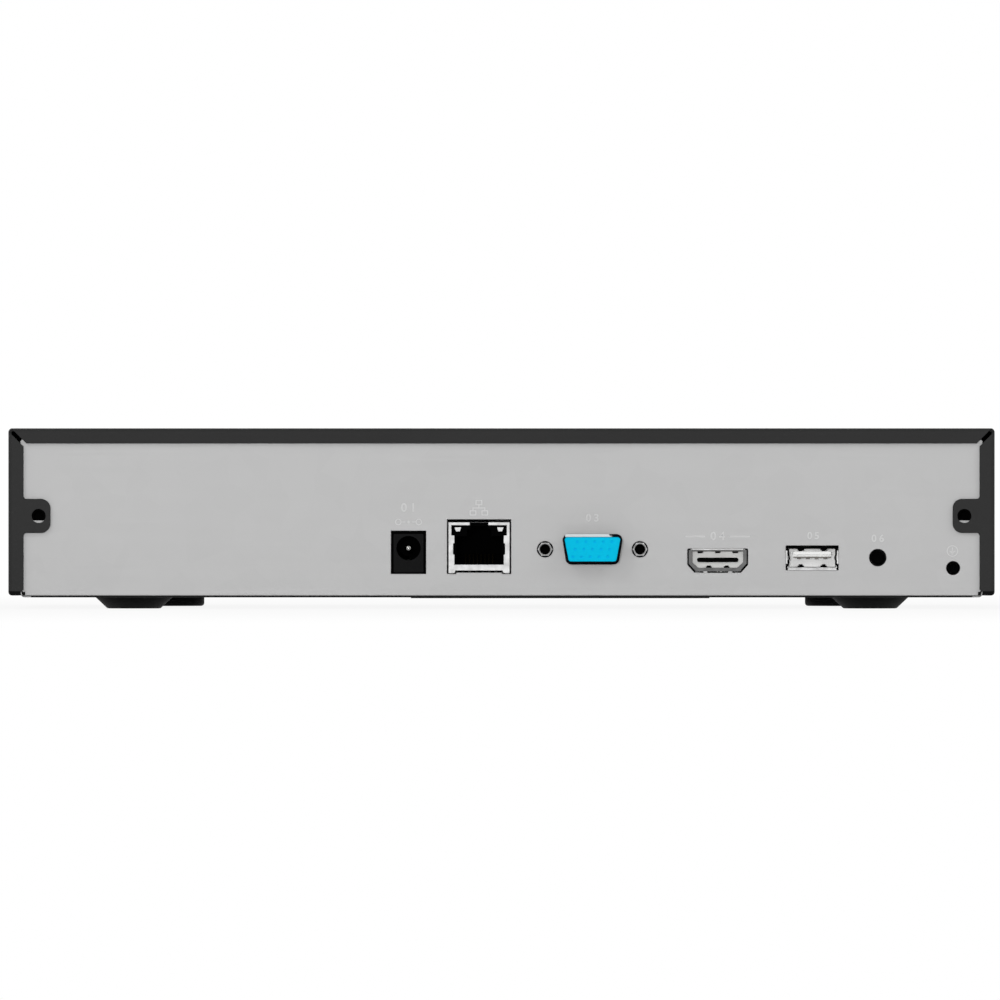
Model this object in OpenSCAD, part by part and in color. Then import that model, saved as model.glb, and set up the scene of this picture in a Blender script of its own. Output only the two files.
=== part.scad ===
// Compact network video recorder in a folded sheet-steel case: base tray with its rear port panel,
// lift-off top cover, moulded front bezel, main board with its sockets, and one 3.5 inch hard disk.
// X runs to the right seen from the front, Y from the bezel to the rear panel, Z up from the table.

/* [Case] */
// Width over the cover's side walls
case_w = 260; // [258:1:300]
// Depth from the bezel's face to the rear panel's outer face
case_d = 219.8; // [218:0.2:260]
// Height from the table to the cover's top
case_h = 47.6; // [46:0.1:60]
// Thickness of the sheet steel
sheet = 0.8; // [0.6:0.1:1]
// Outer radius of the sheet's folded edges
bend_r = 1; // [0.8:0.1:1.4]

/* [Top cover] */
// Width of the flanges folded down behind the rear panel's edges
flange_w = 4; // [3.5:0.1:5]
// Width of the mitre slot between the flanges at each upper corner
mitre_gap = 1.1; // [0.6:0.1:1.5]
// Height of the cover's lower edges above the base's underside
cover_rise = 0.5; // [0.4:0.1:1.5]
// Gap between the cover's bottom lips and the base's side walls
lip_gap = 0.6; // [0.4:0.1:1]
// Gap between the cover's rear flanges and the rear panel
lap_gap = 0.1; // [0.1:0.05:0.3]
// Height of each screw tab
tab_h = 9; // [7:0.5:10]
// Length of each screw tab beyond its flange
tab_l = 7.1; // [7:0.1:9]
// Radius of the screw tabs' free corners
tab_r = 2.5; // [1:0.1:3.4]
// Radius of the fillets at the screw tabs' roots
tab_root_r = 0.8; // [0.4:0.1:1.2]
// Height of the screw tabs' centres above the table
tab_z = 24.5; // [20:0.5:28]
// Distance of the tab holes from the cover's side walls
tab_hole_in = 8; // [7.6:0.1:8.4]
// Diameter of the clearance hole in each tab
tab_hole_d = 3.7; // [3.6:0.1:4]
// Number of ventilation slots in each side wall
vent_n = 18; // [4:1:24]
// Distance between neighbouring ventilation slots
vent_pitch = 5; // [4:0.5:6]
// Width of a ventilation slot
vent_w = 2.2; // [1.5:0.1:3]
// Height of a ventilation slot
vent_h = 16; // [8:1:20]
// Distance from the bezel to the first ventilation slot
vent_in = 32; // [20:1:60]

/* [Base] */
// Gap between the base's side walls and the cover's side walls
side_gap = 2.4; // [1.6:0.1:3]
// Gap between the rear panel's top edge and the cover's top plate
panel_gap = 2.2; // [1:0.1:3]
// Height of the base's side walls
wall_h = 12; // [8:0.5:14]
// Width of the relief notch where the walls meet
relief_w = 2.8; // [2:0.1:4]
// Gap between the front wall's upper flange and the cover's top plate
seat_gap = 0.2; // [0.1:0.1:0.4]
// Depth of the front wall's upper flange
seat_d = 7; // [5:0.5:10]
// Size of the 45 degree cut at the rear panel's upper corners
corner_cut = 0.4; // [0.4:0.1:1.5]
// Side of the square windows for clip nuts behind the cover's tabs
clip_w = 4.2; // [3.8:0.1:4.6]
// Height of the windows' centres above the tabs' centres
clip_rise = 0.9; // [0.6:0.1:1]
// Width of the pad pressed down in the bottom plate
pad_w = 79; // [60:0.5:100]
// Depth of the pressed pad, front to rear
pad_l = 52; // [30:1:60]
// How far the pad stands below the bottom plate
pad_drop = 0.3; // [0.2:0.1:1.2]
// Distance of the pad's centre from the base's left side wall
pad_side = 111.4; // [100:0.1:130]
// Distance of the pad's rear edge from the rear panel
pad_in = 22; // [15:1:30]

/* [Feet] */
// Height of the feet
foot_h = 3; // [2:0.1:5]
// Diameter of a rear foot at the base
rear_foot_d = 20.3; // [16:0.1:24]
// Diameter of a rear foot's face on the table
rear_foot_face = 14.2; // [10:0.1:15]
// Distance of the rear feet from the base's side walls
rear_foot_side = 29.4; // [22:0.1:46]
// Distance of the rear feet from the rear panel
rear_foot_in = 25; // [18:1:40]
// Diameter of a front foot
front_foot_d = 22; // [16:0.5:26]
// Distance of the front feet from the base's side walls
front_foot_side = 34.4; // [22:0.1:46]
// Distance of the front feet from the bezel's face
front_foot_in = 50.5; // [44:0.5:60]
// Diameter of the peg that holds each foot in the bottom plate
foot_peg_d = 4; // [3:0.1:5]

/* [Bezel] */
// Depth of the bezel
bezel_d = 14; // [13.6:0.1:16]
// Wall thickness of the bezel
bezel_wall = 2.2; // [1.6:0.1:2.4]
// Gap between the bezel and the cover's front edge
bezel_gap = 0.3; // [0.2:0.1:0.6]
// Height of the bezel's vertical face band
band_h = 16; // [14:0.5:20]
// Height of the band's lower edge above the table
band_z = 17; // [16:0.5:19]
// How far the bezel's upper edge lies behind its face
brow_d = 3; // [1:0.1:4]
// How far the bezel's lower edge lies behind its face
chin_d = 4; // [1:0.1:5]
// Width of the groove below the face band
groove_w = 1.2; // [0.8:0.1:1.6]
// Depth of the groove
groove_d = 0.8; // [0.4:0.1:1]
// Distance of the outer snap hooks from the case's sides
hook_side = 26; // [20:1:40]

/* [Main board] */
// Gap between the bottom plate and the board
board_gap = 3.8; // [3:0.1:5]
// Thickness of the circuit boards
board_t = 1.6; // [1:0.1:2]
// Gap between the hard disk and the main board
board_front = 10.1; // [6:0.1:12]
// Gap between the main board and the rear panel
board_back = 0.8; // [0.5:0.1:1.5]
// Distance from the reset switch and the power jack to the board's ends
board_end = 12.8; // [12:0.1:16]
// Distance of the mounting screws from the board's edges
screw_in = 4; // [3.6:0.1:5]
// Thread diameter of the board screws
screw_d = 3; // [2.5:0.1:3]
// Head diameter of the board screws
head_d = 6; // [5:0.1:6]
// Diameter of the standoffs under the board
standoff_d = 6.4; // [5.5:0.1:7]
// Side of the square heat sink
sink_w = 38; // [30:1:42]
// Height of the heat sink
sink_h = 14; // [8:0.5:18]
// Number of the heat sink's fins
fin_n = 11; // [6:1:14]
// Side of the processor's package
chip_w = 23; // [15:0.5:27]
// Diameter of the coin cell
cell_d = 20; // [12:0.5:20]
// Diameter of the buzzer
buzzer_d = 12; // [9:0.5:14]

/* [Rear sockets] */
// Clearance around each socket in the rear panel
cut_gap = 0.4; // [0.2:0.05:0.6]
// Distance of the power jack from the base's left side wall
dc_side = 151.3; // [150:0.1:160]
// Width of the power jack
dc_w = 8.5; // [8:0.1:10]
// Height of the power jack
dc_h = 11; // [10.6:0.1:12]
// Bore of the power jack
dc_bore = 6.4; // [5.6:0.1:6.8]
// Diameter of the power jack's centre pin
dc_pin_d = 2; // [1.6:0.05:2.5]
// Height of the power jack's axis above the board
dc_axis = 6.8; // [6:0.1:7]
// Distance of the network jack from the base's left side wall
lan_side = 132.7; // [131:0.1:136]
// Width of the network jack's shell
lan_w = 16.1; // [15:0.1:17]
// Height of the network jack's shell
lan_h = 13; // [12.8:0.1:14]
// Depth of the network jack
lan_l = 17; // [15:0.5:21]
// Distance of the VGA socket from the base's left side wall
vga_side = 102.8; // [101:0.1:105]
// Height of the VGA socket's axis above the board
vga_axis = 6.5; // [6.3:0.1:8]
// Width of the VGA shell along its upper side
vga_w = 15.4; // [15:0.1:16.6]
// Height of the VGA shell
vga_h = 7.2; // [7:0.1:8.4]
// How far the VGA shell stands out of the rear panel
vga_out = 5.2; // [4:0.1:7]
// Distance between the VGA socket's jack nuts
nut_pitch = 24.99; // [24:0.01:26]
// Outside diameter of a jack nut
nut_d = 3.5; // [3.4:0.1:5]
// Thread diameter of a jack nut
nut_bore = 2.7; // [2.4:0.1:3]
// Distance of the HDMI socket from the base's left side wall
hdmi_side = 69.8; // [67:0.1:73]
// Width of the HDMI shell
hdmi_w = 15.2; // [14.5:0.1:15.5]
// Height of the HDMI shell
hdmi_h = 5.6; // [5.2:0.1:6]
// Height of the HDMI shell's underside above the board
hdmi_rise = 0.7; // [0.2:0.1:1]
// Distance of the rear USB socket from the base's left side wall
usb_side = 44.9; // [43:0.1:47]
// Width of a USB shell
usb_w = 13.1; // [12.8:0.1:13.6]
// Height of a USB shell
usb_h = 5.7; // [5.4:0.1:6.2]
// Height of the rear USB shell's underside above the board
usb_rise = 1.4; // [0.6:0.1:2]
// Distance of the reset button from the base's left side wall
reset_side = 27.6; // [26:0.1:29]
// Height of the reset button's axis above the board
reset_axis = 4.3; // [3.5:0.1:5]
// Diameter of the reset hole in the rear panel
reset_hole_d = 4.6; // [4.2:0.1:5]
// Diameter of the reset button
reset_d = 3.4; // [2.4:0.1:3.6]
// Travel of the reset button
reset_travel = 0.4; // [0.2:0.1:0.6]
// Distance of the earth screw hole from the base's left side wall
earth_side = 7.75; // [7:0.05:10]
// Height of the earth screw hole above the table
earth_z = 10.75; // [10:0.25:13]
// Diameter of the earth screw hole
earth_d = 3.7; // [3:0.1:4]

/* [Hard disk] */
// Length of the drive, along the case's width
disk_l = 147; // [140:0.1:147]
// Width of the drive
disk_w = 101.6; // [100:0.1:102]
// Height of the drive
disk_h = 26.1; // [24:0.1:27]
// Gap between the drive and the base's right wall
disk_side = 4; // [2:0.1:8]
// Gap between the drive and the front wall
disk_front = 3.7; // [3.2:0.1:6]
// Height of the pressed bosses that carry the drive
boss_h = 2; // [1.8:0.1:2.4]
// Diameter of the platters
platter_d = 95; // [88:0.5:95]
// Thickness of a platter
platter_t = 1.3; // [0.8:0.1:1.4]
// Gap between the platters
platter_gap = 2.4; // [2.2:0.1:2.6]

/* [Hidden] */

$fn = 48;
// Margin by which a cutting shape runs past the face it cuts
past = 1;
// Gap between a screw or peg and the hole that it sits in
snug = 0.05;

// Sheet positions of the case
half_w = case_w / 2;
front_y = -(case_d + vga_out) / 2;
rear_y = front_y + case_d;
panel_y = rear_y - sheet;
deck_z = foot_h + sheet;
roof_z = case_h - sheet;
base_half = half_w - sheet - side_gap;
wall_y = front_y + bezel_d;
wall_in_y = wall_y + sheet;
cover_low = foot_h + cover_rise;
cover_front_y = wall_y + bezel_gap;
flange_y = rear_y + lap_gap;
panel_top = roof_z - panel_gap;
seat_z = roof_z - seat_gap;
flange_in = half_w - flange_w;
tab_hole_x = half_w - tab_hole_in;
foot_in = 0.4;
foot_notch = 0.5;
foot_slit = [0.45, 0.35, 1.2];
screw_gap = 0.2;
foot_peg_root = 0.5;
foot_peg_out = 0.6;
cable_window = [18, 12];
floor_vent_n = 8;
floor_vent_w = 3;
floor_vent_l = 18;
floor_vent_step = 8;
floor_vent_in = 10;
floor_vent_side = 13;

// Places of the rear sockets and the feet, and of what lies behind them
port_x0 = -base_half;
dc_x = port_x0 + dc_side;
lan_x = port_x0 + lan_side;
vga_x = port_x0 + vga_side;
hdmi_x = port_x0 + hdmi_side;
usb_x = port_x0 + usb_side;
reset_x = port_x0 + reset_side;
earth_x = port_x0 + earth_side;
pad_x = port_x0 + pad_side;
rear_foot_x = base_half - rear_foot_side;
front_foot_x = base_half - front_foot_side;
hook_x = half_w - hook_side;

// Main board: it reaches from beyond the reset switch to beyond the power jack
port_mid_shift = 3.9;
board_z = deck_z + board_gap;
top_z = board_z + board_t;
board_x0 = reset_x - board_end;
board_x1 = dc_x + board_end;
board_y1 = panel_y - board_back;
board_y0 = wall_in_y + disk_front + disk_w + board_front;
port_mid_x = (vga_x + hdmi_x) / 2 - port_mid_shift;
screw_places = [for (x = [board_x0 + screw_in, port_mid_x, board_x1 - screw_in],
                     y = [board_y0 + screw_in, board_y1 - screw_in]) [x, y]];

// Hard disk: its length lies across the case, its socket faces left
disk_x1 = base_half - sheet - disk_side;
disk_x0 = disk_x1 - disk_l;
disk_y0 = wall_in_y + disk_front;
disk_y1 = disk_y0 + disk_w;
disk_mid_y = (disk_y0 + disk_y1) / 2;
disk_z0 = deck_z + boss_h;
disk_z1 = disk_z0 + disk_h;
disk_lid_t = 1;
disk_screw_edge = 3.18;
disk_screw_first = 41.28;
disk_screw_step = 76.2;
disk_screw_d = 3.5;
disk_screw_gap = 0.2;
disk_head_d = 6.6;
disk_head_h = 1.7;
disk_boss_d = 11;
disk_places = [for (x = [disk_x0 + disk_screw_first, disk_x0 + disk_screw_first + disk_screw_step],
                    y = [disk_y0 + disk_screw_edge, disk_y1 - disk_screw_edge]) [x, y]];
lid_in = 5.5;
lid_screw_d = 2;
lid_places = [for (x = [disk_x0 + lid_in, disk_x1 - lid_in],
                   y = [disk_y0 + lid_in, disk_y1 - lid_in]) [x, y]];

// Circuit board and socket below the disk's housing
disk_board_t = 1.5;
disk_board_z = disk_z0 + 1.6;
disk_board_side = 8;
disk_board_end = 22;
disk_socket = [8.8, 43, 6.5];
disk_socket_rise = 0.3;
disk_socket_y1 = disk_y1 - 4.5;
disk_socket_y0 = disk_socket_y1 - disk_socket.y;
socket_gap = 0.5;

// Platters, spindle and the arm's pivot in the well above
disk_well_z = disk_z0 + 8.5;
disk_wall = 2.4;
well_gap = 1.5;
pocket_wall = [3.4, 6.4];
bearing_gap = 0.4;
spindle_d = 7;
pivot_d = 5;
hub_x = disk_x1 - disk_wall - platter_d / 2 - 1.6;
hub_y = disk_mid_y;
stack_z = disk_well_z + 2.6;
stack_h = 2 * platter_t + platter_gap;
pivot_x = hub_x - platter_d / 2 - 9.5;
pivot_y = disk_y0 + 28;
arm_angle = 78;
arm_swing = 34;
arm_l = 46;
arm_gap = 0.8;

// Places of the parts on the main board: from its left end, and from its rear edge or its front edge
sink_at = [72, 38];
cell_at = [16, 23];
buzzer_at = [98, 20];
data_at = [44.5, 10];
power_at = [29, 7.3];
ribbon_at = [14, 5.4];
pin_off = sink_w / 2 - 3;

// Processor stack and the other parts that stand on the board
chip_t = 1.4;
pad_t = 0.6;
sink_base = 2.5;
pin_d = 2.6;
pin_gap = 0.3;
cell_h = 3.2;
cell_floor = 1.2;
buzzer_h = 8.5;

// Cable sockets on the boards, and the clearance of the plugs in them
head_wall = 1;
plug_gap = 0.1;
data_head = [16.8, 6.4, 8];
data_room = [12, 3, 6];
power_head = [12.4, 7.2, 7];
ribbon_head = [14, 5.2, 6];
front_head_h = 6;
front_head_d = 3.6;

// Front board, held in the bezel behind the lights and the USB socket
front_board_in = 3.2;
front_board_w = 62;
front_board_h = 22;
front_board_t = 1.2;
front_board_back = 2.2;
front_board_x = board_x0 + front_board_in;
front_z = band_z + band_h / 2;
front_back_y = wall_y - front_board_back;
front_face_y = front_back_y - front_board_t;
front_usb_in = 14;
front_usb_x = front_board_x + front_board_w - front_usb_in;
led_d = 2.6;
led_step = 10;
led_in = 9;
led_x = [for (i = [0:2]) front_board_x + led_in + led_step * i];
light_d = 2.3;
front_header_x = board_x0 + ribbon_at.x;
front_post_in = 4;
front_post_drop = 7.5;
front_screw_d = 2;
front_post_x = [front_board_x + front_post_in, front_board_x + front_board_w - front_post_in];
front_post_z = front_z - front_post_drop;
bezel_post_in = 8;
bezel_post_d = 7;
bezel_post_x = [-base_half + bezel_post_in, base_half - bezel_post_in];
bezel_in_y = front_y + bezel_wall;
groove_floor = groove_d + 0.5;

// Snap hooks of the bezel, in a row along its lower edge and one along its upper edge
hook_w = 7;
hook_t = 1.4;
hook_gap = 0.4;
hook_catch = 1.9;
low_hook_z = foot_h + 5.2;
high_hook_z = seat_z - 5;

// Socket positions, all seen from the front
dc_y1 = rear_y + 0.3;
dc_l = 14.2;
dc_bore_l = 9.5;
dc_pin_root = 11.3;
dc_slot_w = 2.4;
dc_slot_in = 3;
lan_z0 = top_z + 0.6;
lan_lip = 0.35;
lan_cut_low = 0.25;
lan_cut_high = 0.8;
lan_y1 = rear_y + 0.6;
lan_y0 = lan_y1 - lan_l;
lan_skin = 0.3;
lan_mouth_w = 13;
lan_sill = 1.85;
lan_shelf = 9.65;
lan_upper_w = 14.4;
lan_brow = 0.75;
lan_latch_w = 4.9;
lan_ear = 1.6;
lan_pitch = 1.02;
lan_slot_w = 0.6;
lan_slot_l = 14;
lan_room_w = 12;
lan_room_l = 13;
vga_z = top_z + vga_axis;
vga_skin = 0.5;
vga_slope = 1.25;
vga_corner_r = 1.1;
vga_flange = [30.8, 12.4];
vga_flange_t = 0.6;
vga_flange_y1 = panel_y - snug;
hdmi_z0 = top_z + hdmi_rise;
hdmi_l = 11.5;
hdmi_skin = 0.35;
hdmi_cut = [1.9, 2.1];
hdmi_root = 2.7;
hdmi_tongue_size = [11, 1.2];
usb_l = 14;
usb_skin = 0.3;
usb_spring_x = 3.2;
usb_tongue_w = 10.4;
usb_tongue_t = 1.5;
usb_tongue_gap = 0.9;
shell_out = 0.3;
front_usb_l = front_face_y - front_y - shell_out;
shell_y1 = rear_y + shell_out;
reset_z = top_z + reset_axis;
reset_body_y1 = panel_y - 2.6;
reset_body_l = 4.4;
reset_in = 2;
reset_back = 0.9;

// Drawing helpers ---------------------------------------------------------------------------------

// A section in X and Z, drawn from y0 to y1
module along_y(y0, y1) {
    translate([0, y1, 0]) rotate([90, 0, 0]) linear_extrude(y1 - y0) children();
}

// A section in Y and Z, drawn from x0 to x1
module along_x(x0, x1) {
    translate([x0, 0, 0]) rotate([90, 0, 90]) linear_extrude(x1 - x0) children();
}

// A plan in X and Y, drawn from z0 to z1
module along_z(z0, z1) {
    translate([0, 0, z0]) linear_extrude(z1 - z0) children();
}

// A block from one corner to the opposite one
module block(low, high) {
    translate(low) cube(high - low);
}

// A cylinder along Y from y0 to y1
module rod_y(x, z, d, y0, y1) {
    translate([x, y1, z]) rotate([90, 0, 0]) cylinder(d = d, h = y1 - y0);
}

// A cylinder along Z from z0 to z1
module rod_z(x, y, d, z0, z1) {
    translate([x, y, z0]) cylinder(d = d, h = z1 - z0);
}

// The children and their mirror image on the other side of the case
module both_sides() {
    children();
    mirror([1, 0, 0]) children();
}

// A rectangle with rounded corners
module round_rect(low, high, r) {
    translate(low + [r, 0]) square(high - low - [2 * r, 0]);
    translate(low + [0, r]) square(high - low - [0, 2 * r]);
    for (x = [low.x + r, high.x - r], y = [low.y + r, high.y - r]) translate([x, y]) circle(r);
}

// A slot with half-round ends, w wide and h high
module slot(w, h) {
    square([w, h - w], center = true);
    for (s = [-1, 1]) translate([0, s * (h - w) / 2]) circle(d = w);
}

// The point p of an outline turned into an arc of radius r, between its neighbours a and b
function unit(v) = v / norm(v);
function corner_arc(a, p, b, r, n = 6) =
    let(u = unit(a - p), v = unit(b - p), half = acos(u * v) / 2, c = p + unit(u + v) * r / sin(half),
        s = p + u * r / tan(half) - c, e = p + v * r / tan(half) - c,
        turn = u.x * v.y - u.y * v.x > 0 ? -1 : 1,
        start = atan2(s.y, s.x), sweep = turn * (180 - 2 * half))
    [for (i = [0:n]) c + r * [cos(start + sweep * i / n), sin(start + sweep * i / n)]];
function rounded(p, r) =
    [for (i = [0:len(p) - 1]) each corner_arc(p[(i + len(p) - 1) % len(p)], p[i], p[(i + 1) % len(p)],
        r)];

// A screw along Z with its head up at z: shank below, cross recess in the head
module screw_z(x, y, z, d, head, head_h, length) {
    difference() {
        union() {
            rod_z(x, y, head, z, z + head_h);
            rod_z(x, y, d, z - length, z);
        }
        for (a = [0, 90]) translate([x, y, z + head_h]) rotate(a) cube([head * 0.55, 0.9, head_h],
            center = true);
    }
}

// The outline of a D-shaped shell, wider above, grown by g all round
module d_outline(g) {
    w = vga_w / 2 + g;
    h = vga_h / 2 + g;
    polygon(rounded([[-w, h], [w, h], [w - vga_slope, -h], [vga_slope - w, -h]], vga_corner_r + g));
}

// The outline of an HDMI shell with its lower corners cut, grown by g all round
module hdmi_outline(g) {
    w = hdmi_w / 2 + g;
    h = hdmi_h / 2 + g;
    low = w - hdmi_cut.x;
    polygon(rounded([[-w, h], [w, h], [w, hdmi_cut.y - h], [low, -h], [-low, -h],
        [-w, hdmi_cut.y - h]], 0.4));
}

// A chip package on the board with a row of leads along each of two sides
module leaded_chip(x, y, size, lead_n) {
    gap = 0.15;
    lead = 1.4;
    step = size.x / lead_n;
    block([x - size.x / 2, y - size.y / 2, top_z + gap],
        [x + size.x / 2, y + size.y / 2, top_z + size.z]);
    for (i = [0.5:lead_n - 0.5], s = [-1, 1]) translate([x - size.x / 2 + step * i,
        y + s * (size.y / 2 + 0.5), 0])
        block([-step / 4, -lead / 2, top_z], [step / 4, lead / 2, top_z + size.z / 2]);
}

// Cable geometry: a smooth curve through points p with n steps a span, and a tube of a given outline
// along it.
// The outline's first axis starts along Y and turns to X by the end of the route, by the share turn.
function spline(a, b, c, d, t) =
    0.5 * (2 * b + (c - a) * t + (2 * a - 5 * b + 4 * c - d) * t * t + (3 * b - a - 3 * c + d)
        * t * t * t);
function smooth(p, n) =
    let(m = len(p) - 1, q = concat([2 * p[0] - p[1]], p, [2 * p[m] - p[m - 1]]))
    concat([for (i = [0:m - 1], k = [0:n - 1]) spline(q[i], q[i + 1], q[i + 2], q[i + 3], k / n)],
        [p[m]]);
function wide_axis(tangent, s) = let(u = [s, 1 - s, 0]) unit(u - (u * tangent) * tangent);
module tube(route, outline, offset_w = 0, turn = [0, 1]) {
    n = len(route);
    m = len(outline);
    rings = [for (i = [0:n - 1])
        let(t = unit(route[min(i + 1, n - 1)] - route[max(i - 1, 0)]),
            w = wide_axis(t, turn[0] + (turn[1] - turn[0]) * i / (n - 1)), v = cross(t, w))
        [for (o = outline) route[i] + w * (o.x + offset_w) + v * o.y]];
    sides = [for (i = [0:n - 2], k = [0:m - 1])
        let(a = i * m + k, b = i * m + (k + 1) % m)
        each [[a, a + m, b + m], [a, b + m, b]]];
    polyhedron([for (r = rings) each r],
               concat(sides, [[for (k = [0:m - 1]) k], [for (k = [m - 1:-1:0]) (n - 1) * m + k]]));
}
function round_section(d, n = 8) = [for (i = [0:n - 1]) d / 2 * [cos(360 * i / n), sin(360 * i / n)]];
function flat_section(w, t) = let(a = w / 2, b = t / 2, c = t / 4)
    [[a, -b + c], [a, b - c], [a - c, b], [c - a, b], [-a, b - c], [-a, c - b], [c - a, -b], [a - c, -b]];

// Case --------------------------------------------------------------------------------------------

// Outline of the rear opening in the cover, with the screw tabs left standing
module rear_window() {
    tab_in = flange_in - tab_l;
    difference() {
        translate([-flange_in, 0]) square([2 * flange_in, case_h - flange_w]);
        both_sides() {
            round_rect([tab_in, tab_z - tab_h / 2], [flange_in + 2 * tab_r, tab_z + tab_h / 2], tab_r);
            for (s = [-1, 1]) translate([flange_in, tab_z + s * tab_h / 2]) difference() {
                square(2 * tab_root_r, center = true);
                translate([-tab_root_r, s * tab_root_r]) circle(tab_root_r);
            }
            translate([flange_in - foot_in, 0]) square([2 * foot_in, cover_low + bend_r]);
        }
    }
}

// Cover: one folded sheet with rounded outer edges, bottom lips, rear flanges and side vents
module top_cover() {
    cover_rear_y = flange_y + sheet;
    slot_y = wall_y + vent_in;
    color("#343434") difference() {
        intersection() {
            along_y(cover_front_y, cover_rear_y) round_rect([-half_w, cover_low],
                [half_w, case_h], bend_r);
            along_x(-half_w, half_w) round_rect([cover_front_y - 2 * bend_r, cover_low],
                                                [cover_rear_y, case_h], bend_r);
            along_z(0, case_h) round_rect([-half_w, cover_front_y - 2 * bend_r],
                [half_w, cover_rear_y], bend_r);
        }
        block([-half_w + sheet, cover_front_y - past, cover_low + sheet],
            [half_w - sheet, flange_y, roof_z]);
        block([-base_half - lip_gap, cover_front_y - past, 0],
            [base_half + lip_gap, flange_y, cover_low + past]);
        along_y(flange_y - past, cover_rear_y + past) rear_window();
        both_sides() {
            // Mitre slot through the corner, then the flange's foot with its notch and slit
            along_y(panel_y - bend_r / 2, cover_rear_y + past)
                translate([flange_in, case_h - flange_w]) rotate(45)
                    translate([-flange_w, -mitre_gap / 2]) square([3 * flange_w, mitre_gap]);
            along_y(panel_y, flange_y) translate([flange_in - past, 0])
                square([flange_w - sheet - lip_gap, cover_low + sheet]);
            along_y(panel_y, cover_rear_y + past) {
                translate([flange_in, cover_low + bend_r + foot_notch / 2]) rotate(45)
                    square(foot_notch, center = true);
                translate([flange_in + foot_slit.x, cover_low]) rotate(-15)
                    translate([0, foot_slit.z / 2 - 0.1]) square([foot_slit.y, foot_slit.z], center = true);
            }
            rod_y(tab_hole_x, tab_z, tab_hole_d, panel_y, cover_rear_y + past);
            for (i = [0:vent_n - 1]) translate([0, slot_y + i * vent_pitch, case_h / 2])
                along_x(half_w - 2 * sheet, half_w + past) slot(vent_w, vent_h);
        }
    }
}

// Openings of the sockets in the rear panel, in X and Z
module port_cuts() {
    translate([dc_x - dc_w / 2 - cut_gap, top_z]) square([dc_w + 2 * cut_gap, dc_h + cut_gap]);
    translate([lan_x, lan_z0]) {
        translate([-lan_w / 2 - cut_gap, -lan_cut_low]) square([lan_w + 2 * cut_gap,
            lan_h + lan_cut_low + lan_cut_high]);
        for (s = [-1, 1]) translate([s * lan_w / 2 - cut_gap - (s + 1) * lan_ear / 2, -lan_lip - lan_cut_low])
            square([lan_ear + 2 * cut_gap, past]);
    }
    translate([vga_x, vga_z]) d_outline(cut_gap);
    for (s = [-1, 1]) translate([vga_x + s * nut_pitch / 2, vga_z]) circle(d = nut_d + 2 * cut_gap);
    translate([hdmi_x, hdmi_z0 + hdmi_h / 2]) hdmi_outline(cut_gap);
    translate([usb_x - usb_w / 2 - cut_gap, top_z + usb_rise - cut_gap])
        square([usb_w, usb_h] + 2 * [cut_gap, cut_gap]);
    translate([reset_x, reset_z]) circle(d = reset_hole_d);
    translate([earth_x, earth_z]) circle(d = earth_d);
    both_sides() translate([tab_hole_x, tab_z + clip_rise]) square(clip_w, center = true);
}

// Raised ring pressed in the bottom plate, hollow below, for a screw from underneath
module disk_boss(x, y) {
    difference() {
        rod_z(x, y, disk_boss_d, foot_h, disk_z0);
        rod_z(x, y, disk_boss_d - 2 * sheet, foot_h - past, disk_z0 - sheet);
        rod_z(x, y, disk_screw_d + 2 * disk_screw_gap, foot_h, disk_z0 + past);
    }
}

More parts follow.
